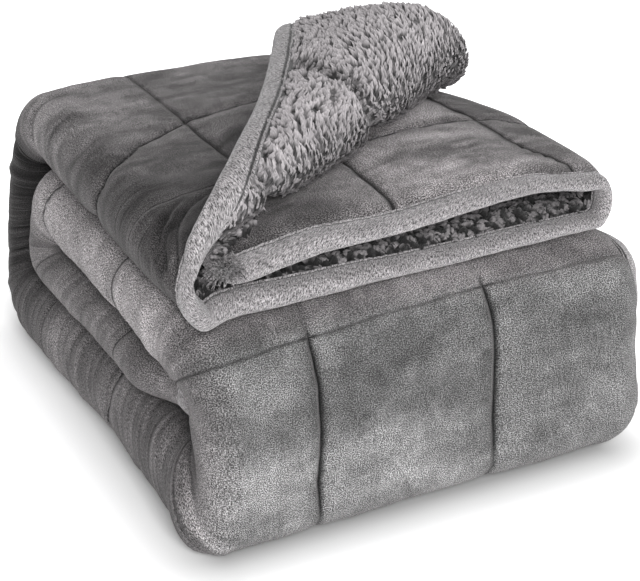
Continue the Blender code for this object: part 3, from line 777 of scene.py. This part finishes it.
def strands(t_range, s_range, across, along, count, length, half, keep, k,
            profile=STRAND, way=brushed_way, place=on_sherpa, shade_tint=1.0):
    """Locks of curved strands, rooted in uneven rows and drawn together at their tips."""
    c, d = math.cos(COMB), math.sin(COMB)
    tc, sc = sum(t_range) / 2, sum(s_range) / 2
    reach = math.hypot(t_range[1] - t_range[0], s_range[1] - s_range[0]) / 2
    iu, iv = np.meshgrid(np.arange(-int(reach / along), int(reach / along) + 1),
                         np.arange(-int(reach / across), int(reach / across) + 1), indexing="ij")
    iu, iv = iu.ravel().astype(float), iv.ravel().astype(float)
    u = (iu + 0.5 * (iv % 2) + 0.9 * (rnd(iu, iv, k) - 0.5)) * along
    v = (iv + 0.9 * (rnd(iu, iv, k + 1) - 0.5)) * across
    t, s = tc + u * c - v * d, sc + u * d + v * c
    ok = (t > t_range[0]) & (t < t_range[1]) & (s > s_range[0]) & (s < s_range[1]) & keep(t, s)
    t, s, iu, iv = (np.repeat(a[ok], count) for a in (t, s, iu, iv))
    j = np.tile(np.arange(count), len(t) // count)
    lock = [2 * rnd(iu, iv, k + 2 + i) - 1 for i in range(4)]
    own = [2 * rnd(iu * count + j, iv * 3 + j, k + 9 + i) - 1 for i in range(6)]
    turn = way(t, s) + 0.40 * smooth_noise(t * 28, s * 28, k + 20) + 0.22 * lock[0] + 0.12 * own[0]
    run = length * (1 + 0.22 * lock[1] + 0.16 * own[1])
    wide = half * (1 + 0.25 * own[2])
    root = across * 0.44 * ((2 * j + 1) / count - 1) + 0.0006 * own[3]
    start = 0.0020 * own[4]
    sway = 0.0012 * (lock[2] + 0.5 * own[5])
    # painted shade is deeper in the seam grooves
    groove, fall = seam_sum(t, s, 0.0050, 0.010)
    lift = 0.0011 * lock[3] + 0.0005 * own[0] + clump(t, s) - 0.0036 * fall
    # random tone per lock and strand, times painted light and shade across the flap: darker where t runs from 0.12 to
    # 0.26
    shade = (1 + 0.10 * lock[1] + 0.10 * own[3]) * (0.94 - 0.11 * ease(0.12, 0.26, t) * (t < 0.42))
    edge = 0.35 + 0.65 * ease(0.019, 0.030, border(t, s))
    cu, su = np.cos(turn), np.sin(turn)
    verts, uvs, deep, tone = [], [], [], []
    for _, f, w, h, dark in profile:
        go = start + run * f
        aside = root * (1 - 0.88 * f ** 1.5) + sway * math.sin(f * 5.0)
        for side in (-1, 0, 1):
            off = aside + side * wide * w
            tt, ss = t + cu * go - su * off, s + su * go + cu * off
            up = (h + lift * f + (0.0 if side == 0 else -0.55 * half * w)) * edge
            verts.append(place(tt, ss, up))
            uvs.append(np.stack([tt, ss], 1))
            # painted shade: dark at the root, lighter to the tip, darker at the edges and in seam grooves
            deep.append(dark + (0.0 if side == 0 else 0.10) + 0.70 * groove * (1 - 0.6 * f))
            tone.append(shade * shade_tint)
    n = len(t)
    q = []
    base = np.arange(n)
    for i in range(len(profile) - 1):
        for side in (0, 1):
            a = (3 * i + side) * n + base
            q.append(np.stack([a, a + n, a + 4 * n, a + 3 * n], 1))
    return (np.concatenate(verts), np.concatenate(q), np.concatenate(uvs),
            {"deep": np.concatenate(deep), "tone": np.concatenate(tone)})


def turned_back(t, s):
    """Where the cloth is peeled back far enough for its pile to show."""
    return (past_fold(t, s) > 0.004) & (border(t, s) > EDGE + 0.0015)


def sherpa_plain(t, s):
    return fold(t, s, -HALF + sherpa_relief(t, s) + 0.001 - 0.0012 * fbm(t * 130, s * 130, 2, 61))


corner = grid(spaced(0.013, (0.383, 0.0031)), spaced(0.011, (0.405, 0.0031)), sherpa_point, sherpa_attrs)
brushed = strands((0.015, 0.375), (0.015, 0.395), 0.0041, 0.0056, 4, 0.0086, 0.00100, turned_back, 301)
mouth = grid(spaced(0.383, (0.45, 0.0030), (0.86, 0.0026), (T_END - IN, 0.0035)),
             spaced(IN, (0.075, 0.0026), (0.115, 0.0035)), sherpa_point, sherpa_attrs)
inner = grid(spaced(0.383, (0.47, 0.006), (0.78, 0.010), (0.82, 0.006), (T_END - IN, 0.012)),
             spaced(0.112, (0.405, 0.012)), sherpa_plain, lambda t, s: {"deep": 0.5 + 0 * t, "tone": 0.5 + 0 * t})
rest = grid(spaced(IN, (0.06, 0.006), (0.35, 0.015), (0.46, 0.008), (0.78, 0.016), (0.82, 0.008), (T_END - IN, 0.016)),
            spaced(0.403, (0.50, 0.009), (0.66, 0.010), (0.74, 0.008), (1.10, 0.016), (1.42, 0.009),
                   (1.70, 0.014), (1.88, 0.006), (S_END - IN, 0.014)), sherpa_plain, lambda t, s: {"deep": 0.5 + 0 * t, "tone": 0.5 + 0 * t})


def in_mouth(t, s):
    return (border(t, s) > EDGE - 0.002) & (s < 0.078 - 0.01 * np.sin(t * 60))


def by_the_tuft(t, s):
    """The strip where the turned-back corner's pile bulges out beside its tape, over the tucked third."""
    middle = np.interp(s, [0.020, 0.033, 0.059, 0.080], [1.128, 1.108, 1.092, 1.080])
    return np.abs(t - middle) < 0.0085


# the mouth's curls and the bulge beside the tuft are painted darker, as painted shade
curly = strands((0.45, 0.86), (0.016, 0.085), 0.0056, 0.0052, 3, 0.0062, 0.0019, in_mouth, 501, CURL, any_way, shade_tint=0.60)
bulge = strands((1.07, 1.135), (0.016, 0.080), 0.0048, 0.0048, 3, 0.0080, 0.0015, by_the_tuft, 601, CURL, any_way, on_velvet, 0.75)
sherpa = make_mesh("sherpa_pile", [corner, brushed, curly, bulge, mouth, inner, rest])

# ---- binding --------------------------------------------------------------
# the tape's section, from the velvet side round the edge to the sherpa side
#   name            in from the edge, height as a share of half its thickness
TAPE = (
    ("buried",      0.0225, 0.40),
    ("inner edge",  0.0208, 0.76),
    ("lip",         0.0196, 0.92),
    ("stitching",   0.0180, 0.78),
    ("past stitch", 0.0162, 0.93),
    ("middle",      0.0110, 0.99),
    ("shoulder",    0.0055, 0.86),
    ("turn",        0.0016, 0.52),
    ("edge",        -0.0002, 0.0),
)


def tape_section(steps=3):
    e = np.array([r[1] for r in TAPE])
    h = np.array([r[2] for r in TAPE]) * BIND / 2
    pts = np.concatenate([np.stack([e, h], 1), np.stack([e[:-1], -h[:-1]], 1)[::-1]])
    # smooth curve through the named points
    out = []
    n = len(pts)
    for i in range(n - 1):
        p0, p1, p2, p3 = pts[max(i - 1, 0)], pts[i], pts[i + 1], pts[min(i + 2, n - 1)]
        for f in np.arange(steps) / steps:
            out.append(0.5 * ((2 * p1) + (p2 - p0) * f + (2 * p0 - 5 * p1 + 4 * p2 - p3) * f ** 2
                              + (3 * p1 - p0 - 3 * p2 + p3) * f ** 3))
    out.append(pts[-1])
    return np.array(out)


def tape_side(corner_a, corner_b, inward_a, inward_b, stations):
    """One side of the ring: from corner_a to corner_b, mitred at both."""
    prof = tape_section(2)
    length = abs(corner_b[0] - corner_a[0]) + abs(corner_b[1] - corner_a[1])
    f = stations / length
    ca, cb, ia, ib = (np.array(v, float) for v in (corner_a, corner_b, inward_a, inward_b))
    n, m = len(f), len(prof)
    d = (cb - ca) / length
    nrm = (ia + ib) / 2
    nrm = nrm - d * (nrm @ d)
    nrm /= np.linalg.norm(nrm)
    e = np.repeat(prof[None, :, 0], n, 0)
    h = np.repeat(prof[None, :, 1], n, 0)
    along = np.repeat(f[:, None] * length, m, 1)
    # mitre: the line at distance e from the edge is shorter by e at each end
    at = e + (along / length) * (length - 2 * e)
    # round the corner a little
    pos = ca[None, None] + d * at[..., None] + nrm * e[..., None]
    a, b = np.minimum(at, length - at), e
    pull = 0.0075 * np.exp(-((a + b) / 0.019) ** 2)
    pos = pos + nrm * pull[..., None] + d * (pull * np.where(at < length / 2, 1, -1))[..., None]
    puff = 0.0009 * fbm(along * 40, e * 60, 2, 33) + 0.0004 * smooth_noise(along * 160, e * 150, 35)
    gather = 0.0005 * np.sin(along * 2 * math.pi / 0.0075 + 3 * smooth_noise(along * 30, along * 0, 37)) * \
        np.exp(-((e - 0.0178) / 0.0035) ** 2)
    h2 = h + np.sign(h) * (puff + gather) * (np.abs(h) > 0.001)
    lip = (pos[..., 1] < 0.03) * (ease(0.50, 0.62, pos[..., 0]) - ease(0.98, 1.08, pos[..., 0]))
    h2 = h2 * (1 - 0.28 * lip) * (1 - 0.25 * np.exp(-((a + b) / 0.018) ** 2))
    return pos[..., 0], pos[..., 1], h2, along, e


def side_mesh(ca, cb, ia, ib, stations):
    t, s, h, along, e = tape_side(ca, cb, ia, ib, stations)
    n, m = t.shape
    v = fold(t.ravel(), s.ravel(), h.ravel())
    i = np.arange(n * m).reshape(n, m)
    j = np.concatenate([i, i[:, :1]], 1)
    q = np.stack([j[:-1, :-1], j[1:, :-1], j[1:, 1:], j[:-1, 1:]], -1).reshape(-1, 4)
    across = np.repeat(np.concatenate([[0], np.cumsum(np.hypot(np.diff(e[0]), np.diff(h[0])))])[None], n, 0)
    return v, q, np.stack([along.ravel(), across.ravel()], 1), {"rim": e.ravel(), "tuft": 0 * t.ravel()}


C = [(0.0, 0.0), (T_END, 0.0), (T_END, S_END), (0.0, S_END)]
near_front = spaced(0.0, (0.45, 0.0028), (T_RIGHT, 0.0035), (T_END, 0.0028))
far_end = spaced(0.0, (T_END, 0.010))
down_u = spaced(0.0, (0.10, 0.003), (S_END, 0.012))
up_f = spaced(0.0, (S_END - 0.50, 0.007), (S_END, 0.003))
parts = [
    side_mesh(C[0], C[1], (1, 1), (-1, 1), near_front),
    side_mesh(C[1], C[2], (-1, 1), (-1, -1), down_u),
    side_mesh(C[2], C[3], (-1, -1), (1, -1), far_end),
    side_mesh(C[3], C[0], (1, -1), (1, 1), up_f),
]
tape = make_mesh("binding_tape", parts)


def tuft(t0, s0, inward, number, reach, k):
    """Plush standing out in a rosette where the tape is lapped over itself at a corner."""
    i = np.arange(number).astype(float)
    own = [2 * rnd(i, i * 7, k + n) - 1 for n in range(6)]
    way = 2 * math.pi * (i * 0.381966 % 1.0)
    out = 0.0105 * np.sqrt((i + 0.5) / number)
    tc, sc = t0 + inward[0] * 0.0105, s0 + inward[1] * 0.0105
    length = reach * (0.75 + 0.35 * own[0])
    bend = way + 0.35 * own[1]
    verts, uvs, dark = [], [], []
    stations = ((0.0, 1.0, -0.0006, 1.0), (0.45, 1.0, 0.0028, 0.55), (1.0, 0.15, 0.0040, 0.0))
    for f, w, h, d in stations:
        r = out + length * f * 0.75
        tt, ss = tc + np.cos(way) * out + np.cos(bend) * length * f * 0.8, sc + np.sin(way) * out + np.sin(bend) * length * f * 0.8
        for side in (-1, 0, 1):
            tw, sw = tt - np.sin(bend) * 0.0008 * w * side, ss + np.cos(bend) * 0.0008 * w * side
            crown = BIND / 2 * (0.86 - 0.75 * np.clip(r / 0.0155, 0, 1.2) ** 3)
            verts.append(fold(tw, sw, crown + h * (1 + 0.4 * own[2]) - (0.0 if side == 0 else 0.0004)))
            uvs.append(np.stack([tw * 0 + i * 0.003, tw * 0 + f * 0.009], 1))
            # painted shade: darker towards the rosette's roots
            dark.append(np.full(number, 0.08 + 0.88 * d) * (1 + 0.25 * own[3]))
    q, base = [], np.arange(number)
    for a in range(2):
        for b in (0, 1):
            c = (3 * a + b) * number + base
            q.append(np.stack([c, c + number, c + 4 * number, c + 3 * number], 1))
    return (np.concatenate(verts), np.concatenate(q), np.concatenate(uvs),
            {"rim": np.full(9 * number, 0.010), "tuft": np.concatenate(dark)})


def weld(ob, dist=0.00005):
    import bmesh
    bm = bmesh.new()
    bm.from_mesh(ob.data)
    bmesh.ops.remove_doubles(bm, verts=bm.verts[:], dist=dist)
    bmesh.ops.recalc_face_normals(bm, faces=bm.faces[:])
    if bm.calc_volume(signed=True) < 0:
        bmesh.ops.reverse_faces(bm, faces=bm.faces[:])
    bm.to_mesh(ob.data)
    bm.free()
    ob.data.shade_smooth()


weld(tape)
rosette = make_mesh("binding_rosette", [tuft(T_END, 0.0, (-1, 1), 340, 0.0105, 401)])


# ---- materials ------------------------------------------------------------
def new_material(name):
    mat = bpy.data.materials.new(name)
    mat.use_nodes = True
    nt = mat.node_tree
    for n in list(nt.nodes):
        nt.nodes.remove(n)
    out = nt.nodes.new("ShaderNodeOutputMaterial")
    bsdf = nt.nodes.new("ShaderNodeBsdfPrincipled")
    nt.links.new(bsdf.outputs[0], out.inputs[0])
    return mat, nt, bsdf


def node(nt, kind, **values):
    n = nt.nodes.new(kind)
    for k, v in values.items():
        if k.startswith("in_"):
            n.inputs[k[3:].replace("_", " ")].default_value = v
        else:
            setattr(n, k, v)
    return n


def mapped(nt, scale, turn=0.0):
    """Cloth coordinates turned by an angle, then scaled."""
    vec = node(nt, "ShaderNodeUVMap", uv_map="cloth").outputs[0]
    for rotation, size in (((0, 0, turn), (1, 1, 1)), ((0, 0, 0), (scale[0], scale[1], 1.0))):
        mp = node(nt, "ShaderNodeMapping")
        mp.inputs["Rotation"].default_value = rotation
        mp.inputs["Scale"].default_value = size
        nt.links.new(vec, mp.inputs[0])
        vec = mp.outputs[0]
    return vec


def noise(nt, vec, scale, detail=2.0, rough=0.5, distort=0.0):
    n = node(nt, "ShaderNodeTexNoise")
    n.inputs["Scale"].default_value = scale
    n.inputs["Detail"].default_value = detail
    n.inputs["Roughness"].default_value = rough
    n.inputs["Distortion"].default_value = distort
    nt.links.new(vec, n.inputs["Vector"])
    return n.outputs["Fac"]


def ramp(nt, fac, stops):
    r = node(nt, "ShaderNodeValToRGB")
    el = r.color_ramp.elements
    while len(el) > 1:
        el.remove(el[-1])
    el[0].position, el[0].color = stops[0][0], (*stops[0][1], 1)
    for p, c in stops[1:]:
        e = el.new(p)
        e.color = (*c, 1)
    nt.links.new(fac, r.inputs[0])
    return r.outputs[0]


def math_node(nt, op, a, b=None, clamp=False):
    n = node(nt, "ShaderNodeMath", operation=op, use_clamp=clamp)
    for i, v in enumerate((a, b)):
        if v is None:
            continue
        if isinstance(v, (int, float)):
            n.inputs[i].default_value = v
        else:
            nt.links.new(v, n.inputs[i])
    return n.outputs[0]


def mix(nt, fac, a, b, blend="MIX"):
    n = node(nt, "ShaderNodeMix", data_type="RGBA", blend_type=blend)
    for i, v in ((0, fac), (6, a), (7, b)):
        if isinstance(v, (int, float)):
            n.inputs[i].default_value = v
        elif isinstance(v, tuple):
            n.inputs[i].default_value = (*v, 1)
        else:
            nt.links.new(v, n.inputs[i])
    return n.outputs[2]


def grey(v, warm=0.0):
    return (v * (1 + warm), v, v * (1 + warm * 0.4))


def lifted_by(nt, colour, *factors):
    """A colour times the float factors."""
    for f in factors:
        xyz = node(nt, "ShaderNodeCombineXYZ")
        for i in range(3):
            nt.links.new(f, xyz.inputs[i])
        m = node(nt, "ShaderNodeVectorMath", operation="MULTIPLY")
        nt.links.new(colour, m.inputs[0])
        nt.links.new(xyz.outputs[0], m.inputs[1])
        colour = m.outputs[0]
    return colour


def attribute(nt, name):
    return node(nt, "ShaderNodeAttribute", attribute_name=name).outputs["Fac"]


def line_distance(nt, name, fine=1.0):
    """Distance in millimetres to the nearest stitched line of one family; fine narrows the line."""
    f = math_node(nt, "FRACT", math_node(nt, "ADD", attribute(nt, name), 100.5))
    return math_node(nt, "MULTIPLY", math_node(nt, "ABSOLUTE", math_node(nt, "SUBTRACT", f, 0.5)), 160.0 * fine)


def velvet_material():
    mat, nt, bsdf = new_material("velvet")
    cords = noise(nt, mapped(nt, (520, 120)), 1.0, 2, 0.6)
    grain = noise(nt, mapped(nt, (1, 1)), 1050, 2, 0.7)
    where = noise(nt, mapped(nt, (30, 22)), 1.0, 2, 0.5)
    patches = noise(nt, mapped(nt, (60, 26)), 1.0, 3, 0.6, 0.8)
    share = ramp(nt, where, [(0.42, (0.02,) * 3), (0.60, (0.16,) * 3)])
    speck = mix(nt, share, grain, cords)
    base = mix(nt, 1.0, ramp(nt, speck, [(0.40, grey(0.014, 0.02)), (0.50, grey(0.086)), (0.60, grey(0.300))]),
               ramp(nt, patches, [(0.34, grey(0.84)), (0.5, grey(1.0)), (0.66, grey(1.18))]), "MULTIPLY")
    # the seams: a dark line that is partly the thread and partly painted shade in its groove, with a painted highlight
    # on the rim beside it
    seam = math_node(nt, "MINIMUM", line_distance(nt, "seam_t"), line_distance(nt, "seam_s", 1.9))
    seam = math_node(nt, "MULTIPLY", seam, 0.1)
    thread = ramp(nt, seam, [(0.045, grey(0.13)), (0.13, grey(0.32)), (0.25, grey(0.85)), (0.45, grey(1.12)), (1.0, grey(1.0))])
    base = mix(nt, attribute(nt, "sewn"), base, thread, "MULTIPLY")
    base = mix(nt, 1.0, base, mix(nt, attribute(nt, "warm"), (1.0, 1.0, 1.0), (1.062, 1.0, 1.016)), "MULTIPLY")
    # on the rumpled sides: painted shade in the streaks between rumples and painted light on them, and the same noise
    # bumps them
    folds = noise(nt, mapped(nt, (24, 110), 0.12), 1.0, 2, 0.45, 0.5)
    rumpled = attribute(nt, "rumpled")
    base = mix(nt, rumpled, base, mix(nt, 1.0, base, ramp(nt, folds, [(0.37, grey(0.40)), (0.50, grey(0.97)), (0.61, grey(1.52))]), "MULTIPLY"))
    # the base colour times the painted light and shade by place
    nt.links.new(lifted_by(nt, base, attribute(nt, "nap")), bsdf.inputs["Base Color"])
    bsdf.inputs["Roughness"].default_value = 0.8
    bsdf.inputs["Specular IOR Level"].default_value = 0.15
    bsdf.inputs["Sheen Weight"].default_value = 0.22
    bsdf.inputs["Sheen Roughness"].default_value = 0.35
    bsdf.inputs["Sheen Tint"].default_value = (0.62, 0.60, 0.60, 1)
    groove = ramp(nt, seam, [(0.0, (0.0,) * 3), (0.15, (0.5,) * 3), (0.36, (0.95,) * 3), (0.60, (1.0,) * 3)])
    bump2 = node(nt, "ShaderNodeBump")
    bump2.inputs["Strength"].default_value = 0.9
    bump2.inputs["Distance"].default_value = 0.0022
    nt.links.new(groove, bump2.inputs["Height"])
    bump3 = node(nt, "ShaderNodeBump")
    bump3.inputs["Strength"].default_value = 1.0
    bump3.inputs["Distance"].default_value = 0.0060
    nt.links.new(math_node(nt, "MULTIPLY", folds, rumpled), bump3.inputs["Height"])
    nt.links.new(bump2.outputs[0], bump3.inputs["Normal"])
    bump = node(nt, "ShaderNodeBump")
    bump.inputs["Strength"].default_value = 0.8
    bump.inputs["Distance"].default_value = 0.0009
    nt.links.new(speck, bump.inputs["Height"])
    nt.links.new(bump3.outputs[0], bump.inputs["Normal"])
    nt.links.new(bump.outputs[0], bsdf.inputs["Normal"])
    return mat


def sherpa_material():
    mat, nt, bsdf = new_material("sherpa")
    deep = attribute(nt, "deep")
    fibre = noise(nt, mapped(nt, (230, 900), -COMB), 1.0, 3, 0.65)
    patches = noise(nt, mapped(nt, (1, 1)), 45, 3, 0.5)
    # painted shade: darker deeper in the pile, near black in the pits and at the roots
    base = ramp(nt, deep, [(0.15, grey(0.34, 0.06)), (0.38, grey(0.25, 0.06)), (0.58, grey(0.12, 0.06)), (0.85, grey(0.016, 0.06))])
    base = mix(nt, 0.8, base, ramp(nt, fibre, [(0.30, grey(0.45)), (0.5, grey(1.0)), (0.7, grey(1.5))]), "MULTIPLY")
    base = mix(nt, 0.5, base, ramp(nt, patches, [(0.3, grey(0.75)), (0.7, grey(1.25))]), "MULTIPLY")
    # times the tone: random per lock, with painted light and shade by place
    nt.links.new(lifted_by(nt, base, attribute(nt, "tone")), bsdf.inputs["Base Color"])
    bsdf.inputs["Roughness"].default_value = 0.95
    bsdf.inputs["Specular IOR Level"].default_value = 0.08
    bsdf.inputs["Sheen Weight"].default_value = 0.15
    bsdf.inputs["Sheen Roughness"].default_value = 0.6
    bump = node(nt, "ShaderNodeBump")
    bump.inputs["Strength"].default_value = 0.9
    bump.inputs["Distance"].default_value = 0.0014
    nt.links.new(fibre, bump.inputs["Height"])
    nt.links.new(bump.outputs[0], bsdf.inputs["Normal"])
    return mat


def tape_material():
    mat, nt, bsdf = new_material("plush_tape")
    hair = noise(nt, mapped(nt, (1150, 330), 0.45), 1.0, 2, 0.7)
    speck = noise(nt, mapped(nt, (1, 1)), 900, 2, 0.7)
    soft = noise(nt, mapped(nt, (45, 70), 0.3), 1.0, 3, 0.6)
    rim = attribute(nt, "rim")
    base = ramp(nt, soft, [(0.3, grey(0.140, 0.05)), (0.7, grey(0.205, 0.05))])
    both = math_node(nt, "ADD", math_node(nt, "MULTIPLY", hair, 0.6), math_node(nt, "MULTIPLY", speck, 0.4))
    base = mix(nt, 1.0, base, ramp(nt, both, [(0.41, grey(0.16)), (0.5, grey(0.98)), (0.59, grey(2.0))]), "MULTIPLY")
    # across the tape: the stitching row is a dark line, partly the stitch and partly painted shade in its groove; the
    # lip gets a painted highlight and the inner edge against the velvet a painted shade
    line = ramp(nt, math_node(nt, "MULTIPLY", rim, 40.0), [(0.640, grey(1.0)), (0.675, grey(0.13)), (0.720, grey(0.13)), (0.745, grey(1.1)),
                                                         (0.785, grey(1.1)), (0.82, grey(0.12))])
    base = mix(nt, 1.0, base, line, "MULTIPLY")
    # painted shade in the rosette, darkest at its roots
    base = mix(nt, attribute(nt, "tuft"), base, (0.012, 0.0115, 0.0115))
    nt.links.new(base, bsdf.inputs["Base Color"])
    bsdf.inputs["Roughness"].default_value = 0.9
    bsdf.inputs["Specular IOR Level"].default_value = 0.12
    bsdf.inputs["Sheen Weight"].default_value = 0.25
    bsdf.inputs["Sheen Roughness"].default_value = 0.5
    bump = node(nt, "ShaderNodeBump")
    bump.inputs["Strength"].default_value = 0.8
    bump.inputs["Distance"].default_value = 0.0010
    nt.links.new(both, bump.inputs["Height"])
    nt.links.new(bump.outputs[0], bsdf.inputs["Normal"])
    return mat


plush = tape_material()
for ob, mat in ((velvet, velvet_material()), (sherpa, sherpa_material()), (tape, plush), (rosette, plush)):
    ob.data.materials.append(mat)

# ---- the frame ------------------------------------------------------------
for ob, nd, sl in ((velvet, "face_panel", "velvet_face"), (sherpa, "sherpa_back", "sherpa_pile"), (tape, "binding", "plush_binding"),
                   (rosette, "binding", "plush_binding")):
    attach(ob, "root")
    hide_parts(nd)

# ---- floor, light, camera -------------------------------------------------
floor_mesh = bpy.data.meshes.new("floor")
floor_mesh.from_pydata([(-8, -8, 0), (8, -8, 0), (8, 12, 0), (-8, 12, 0)], [], [(0, 1, 2, 3)])
floor = bpy.data.objects.new("floor", floor_mesh)
floor.location.z = -0.001
bpy.context.scene.collection.objects.link(floor)
fmat, fnt, fb = new_material("floor_white")
fb.inputs["Emission Color"].default_value = (1, 1, 1, 1)
# a white sweep that glows, with a painted shadow: its glow and colour are dimmer close to the blanket
place = node(fnt, "ShaderNodeNewGeometry").outputs["Position"]
for kind, value in (("ABSOLUTE", None), ("SUBTRACT", (0.185, 0.225, 0.0)), ("MAXIMUM", (0.0, 0.0, 0.0)), ("MULTIPLY", (0.8, 1.0, 1.0))):
    step = node(fnt, "ShaderNodeVectorMath", operation=kind)
    fnt.links.new(place, step.inputs[0])
    if value:
        step.inputs[1].default_value = value
    place = step.outputs[0]
far = node(fnt, "ShaderNodeVectorMath", operation="LENGTH")
fnt.links.new(place, far.inputs[0])
glow = ramp(fnt, far.outputs["Value"], [(0.0, (0.02,) * 3), (0.03, (0.10,) * 3), (0.09, (0.34,) * 3), (0.16, (0.55,) * 3), (0.30, (0.80,) * 3)])
fnt.links.new(glow, fb.inputs["Emission Strength"])
# painted shadow in the floor's colour close to the blanket
near = ramp(fnt, far.outputs["Value"], [(0.0, (0.40,) * 3), (0.02, (0.62,) * 3), (0.055, (0.88, 0.88, 0.885)), (0.10, (0.93, 0.93, 0.935))])
fnt.links.new(near, fb.inputs["Base Color"])
fb.inputs["Roughness"].default_value = 0.9
fb.inputs["Specular IOR Level"].default_value = 0.05
floor_mesh.materials.append(fmat)

scene = bpy.context.scene
scene.view_settings.view_transform = "Standard"
world = bpy.data.worlds.new("studio")
scene.world = world
world.use_nodes = True
world.node_tree.nodes["Background"].inputs[0].default_value = (1, 1, 1, 1)
world.node_tree.nodes["Background"].inputs[1].default_value = 0.45


def area_light(name, pos, target, size, power, colour=(1, 1, 1)):
    li = bpy.data.lights.new(name, "AREA")
    li.shape = "RECTANGLE"
    li.size, li.size_y = size
    li.energy = power
    li.color = colour
    ob = bpy.data.objects.new(name, li)
    bpy.context.scene.collection.objects.link(ob)
    ob.location = pos
    ob.rotation_euler = (Vector(target) - Vector(pos)).to_track_quat("-Z", "Y").to_euler()
    return ob


area_light("key", (-0.7, -2.2, 1.5), (0, 0, 0.12), (1.0, 1.0), 78)
area_light("side", (2.1, -1.1, 1.3), (0, 0, 0.12), (1.3, 1.3), 16)
area_light("top", (0.4, 0.7, 2.2), (0, 0, 0.15), (1.6, 1.6), 10)

AZ, EL, ROLL, DIST, FOCAL_PX = -0.4646, 0.4762, 0.0068, 1.4797, 1512.08
target = Vector((0.0367 - CENTRE_X, -CENTRE_Y, 0.0877))
back = Vector((math.sin(AZ) * math.cos(EL), -math.cos(AZ) * math.cos(EL), math.sin(EL)))
right = (-back).cross(Vector((0, 0, 1))).normalized()
up = right.cross(-back)
r2 = math.cos(ROLL) * right + math.sin(ROLL) * up
u2 = -math.sin(ROLL) * right + math.cos(ROLL) * up
pos = target + back * DIST
cam = bpy.data.cameras.new("photo_view")
cam.sensor_width = 36
cam.lens = FOCAL_PX / 640 * 36
cam_ob = bpy.data.objects.new("photo_view", cam)
scene.collection.objects.link(cam_ob)
cam_ob.matrix_world = Matrix(((r2.x, u2.x, back.x, pos.x), (r2.y, u2.y, back.y, pos.y),
                              (r2.z, u2.z, back.z, pos.z), (0, 0, 0, 1)))
scene.camera = cam_ob
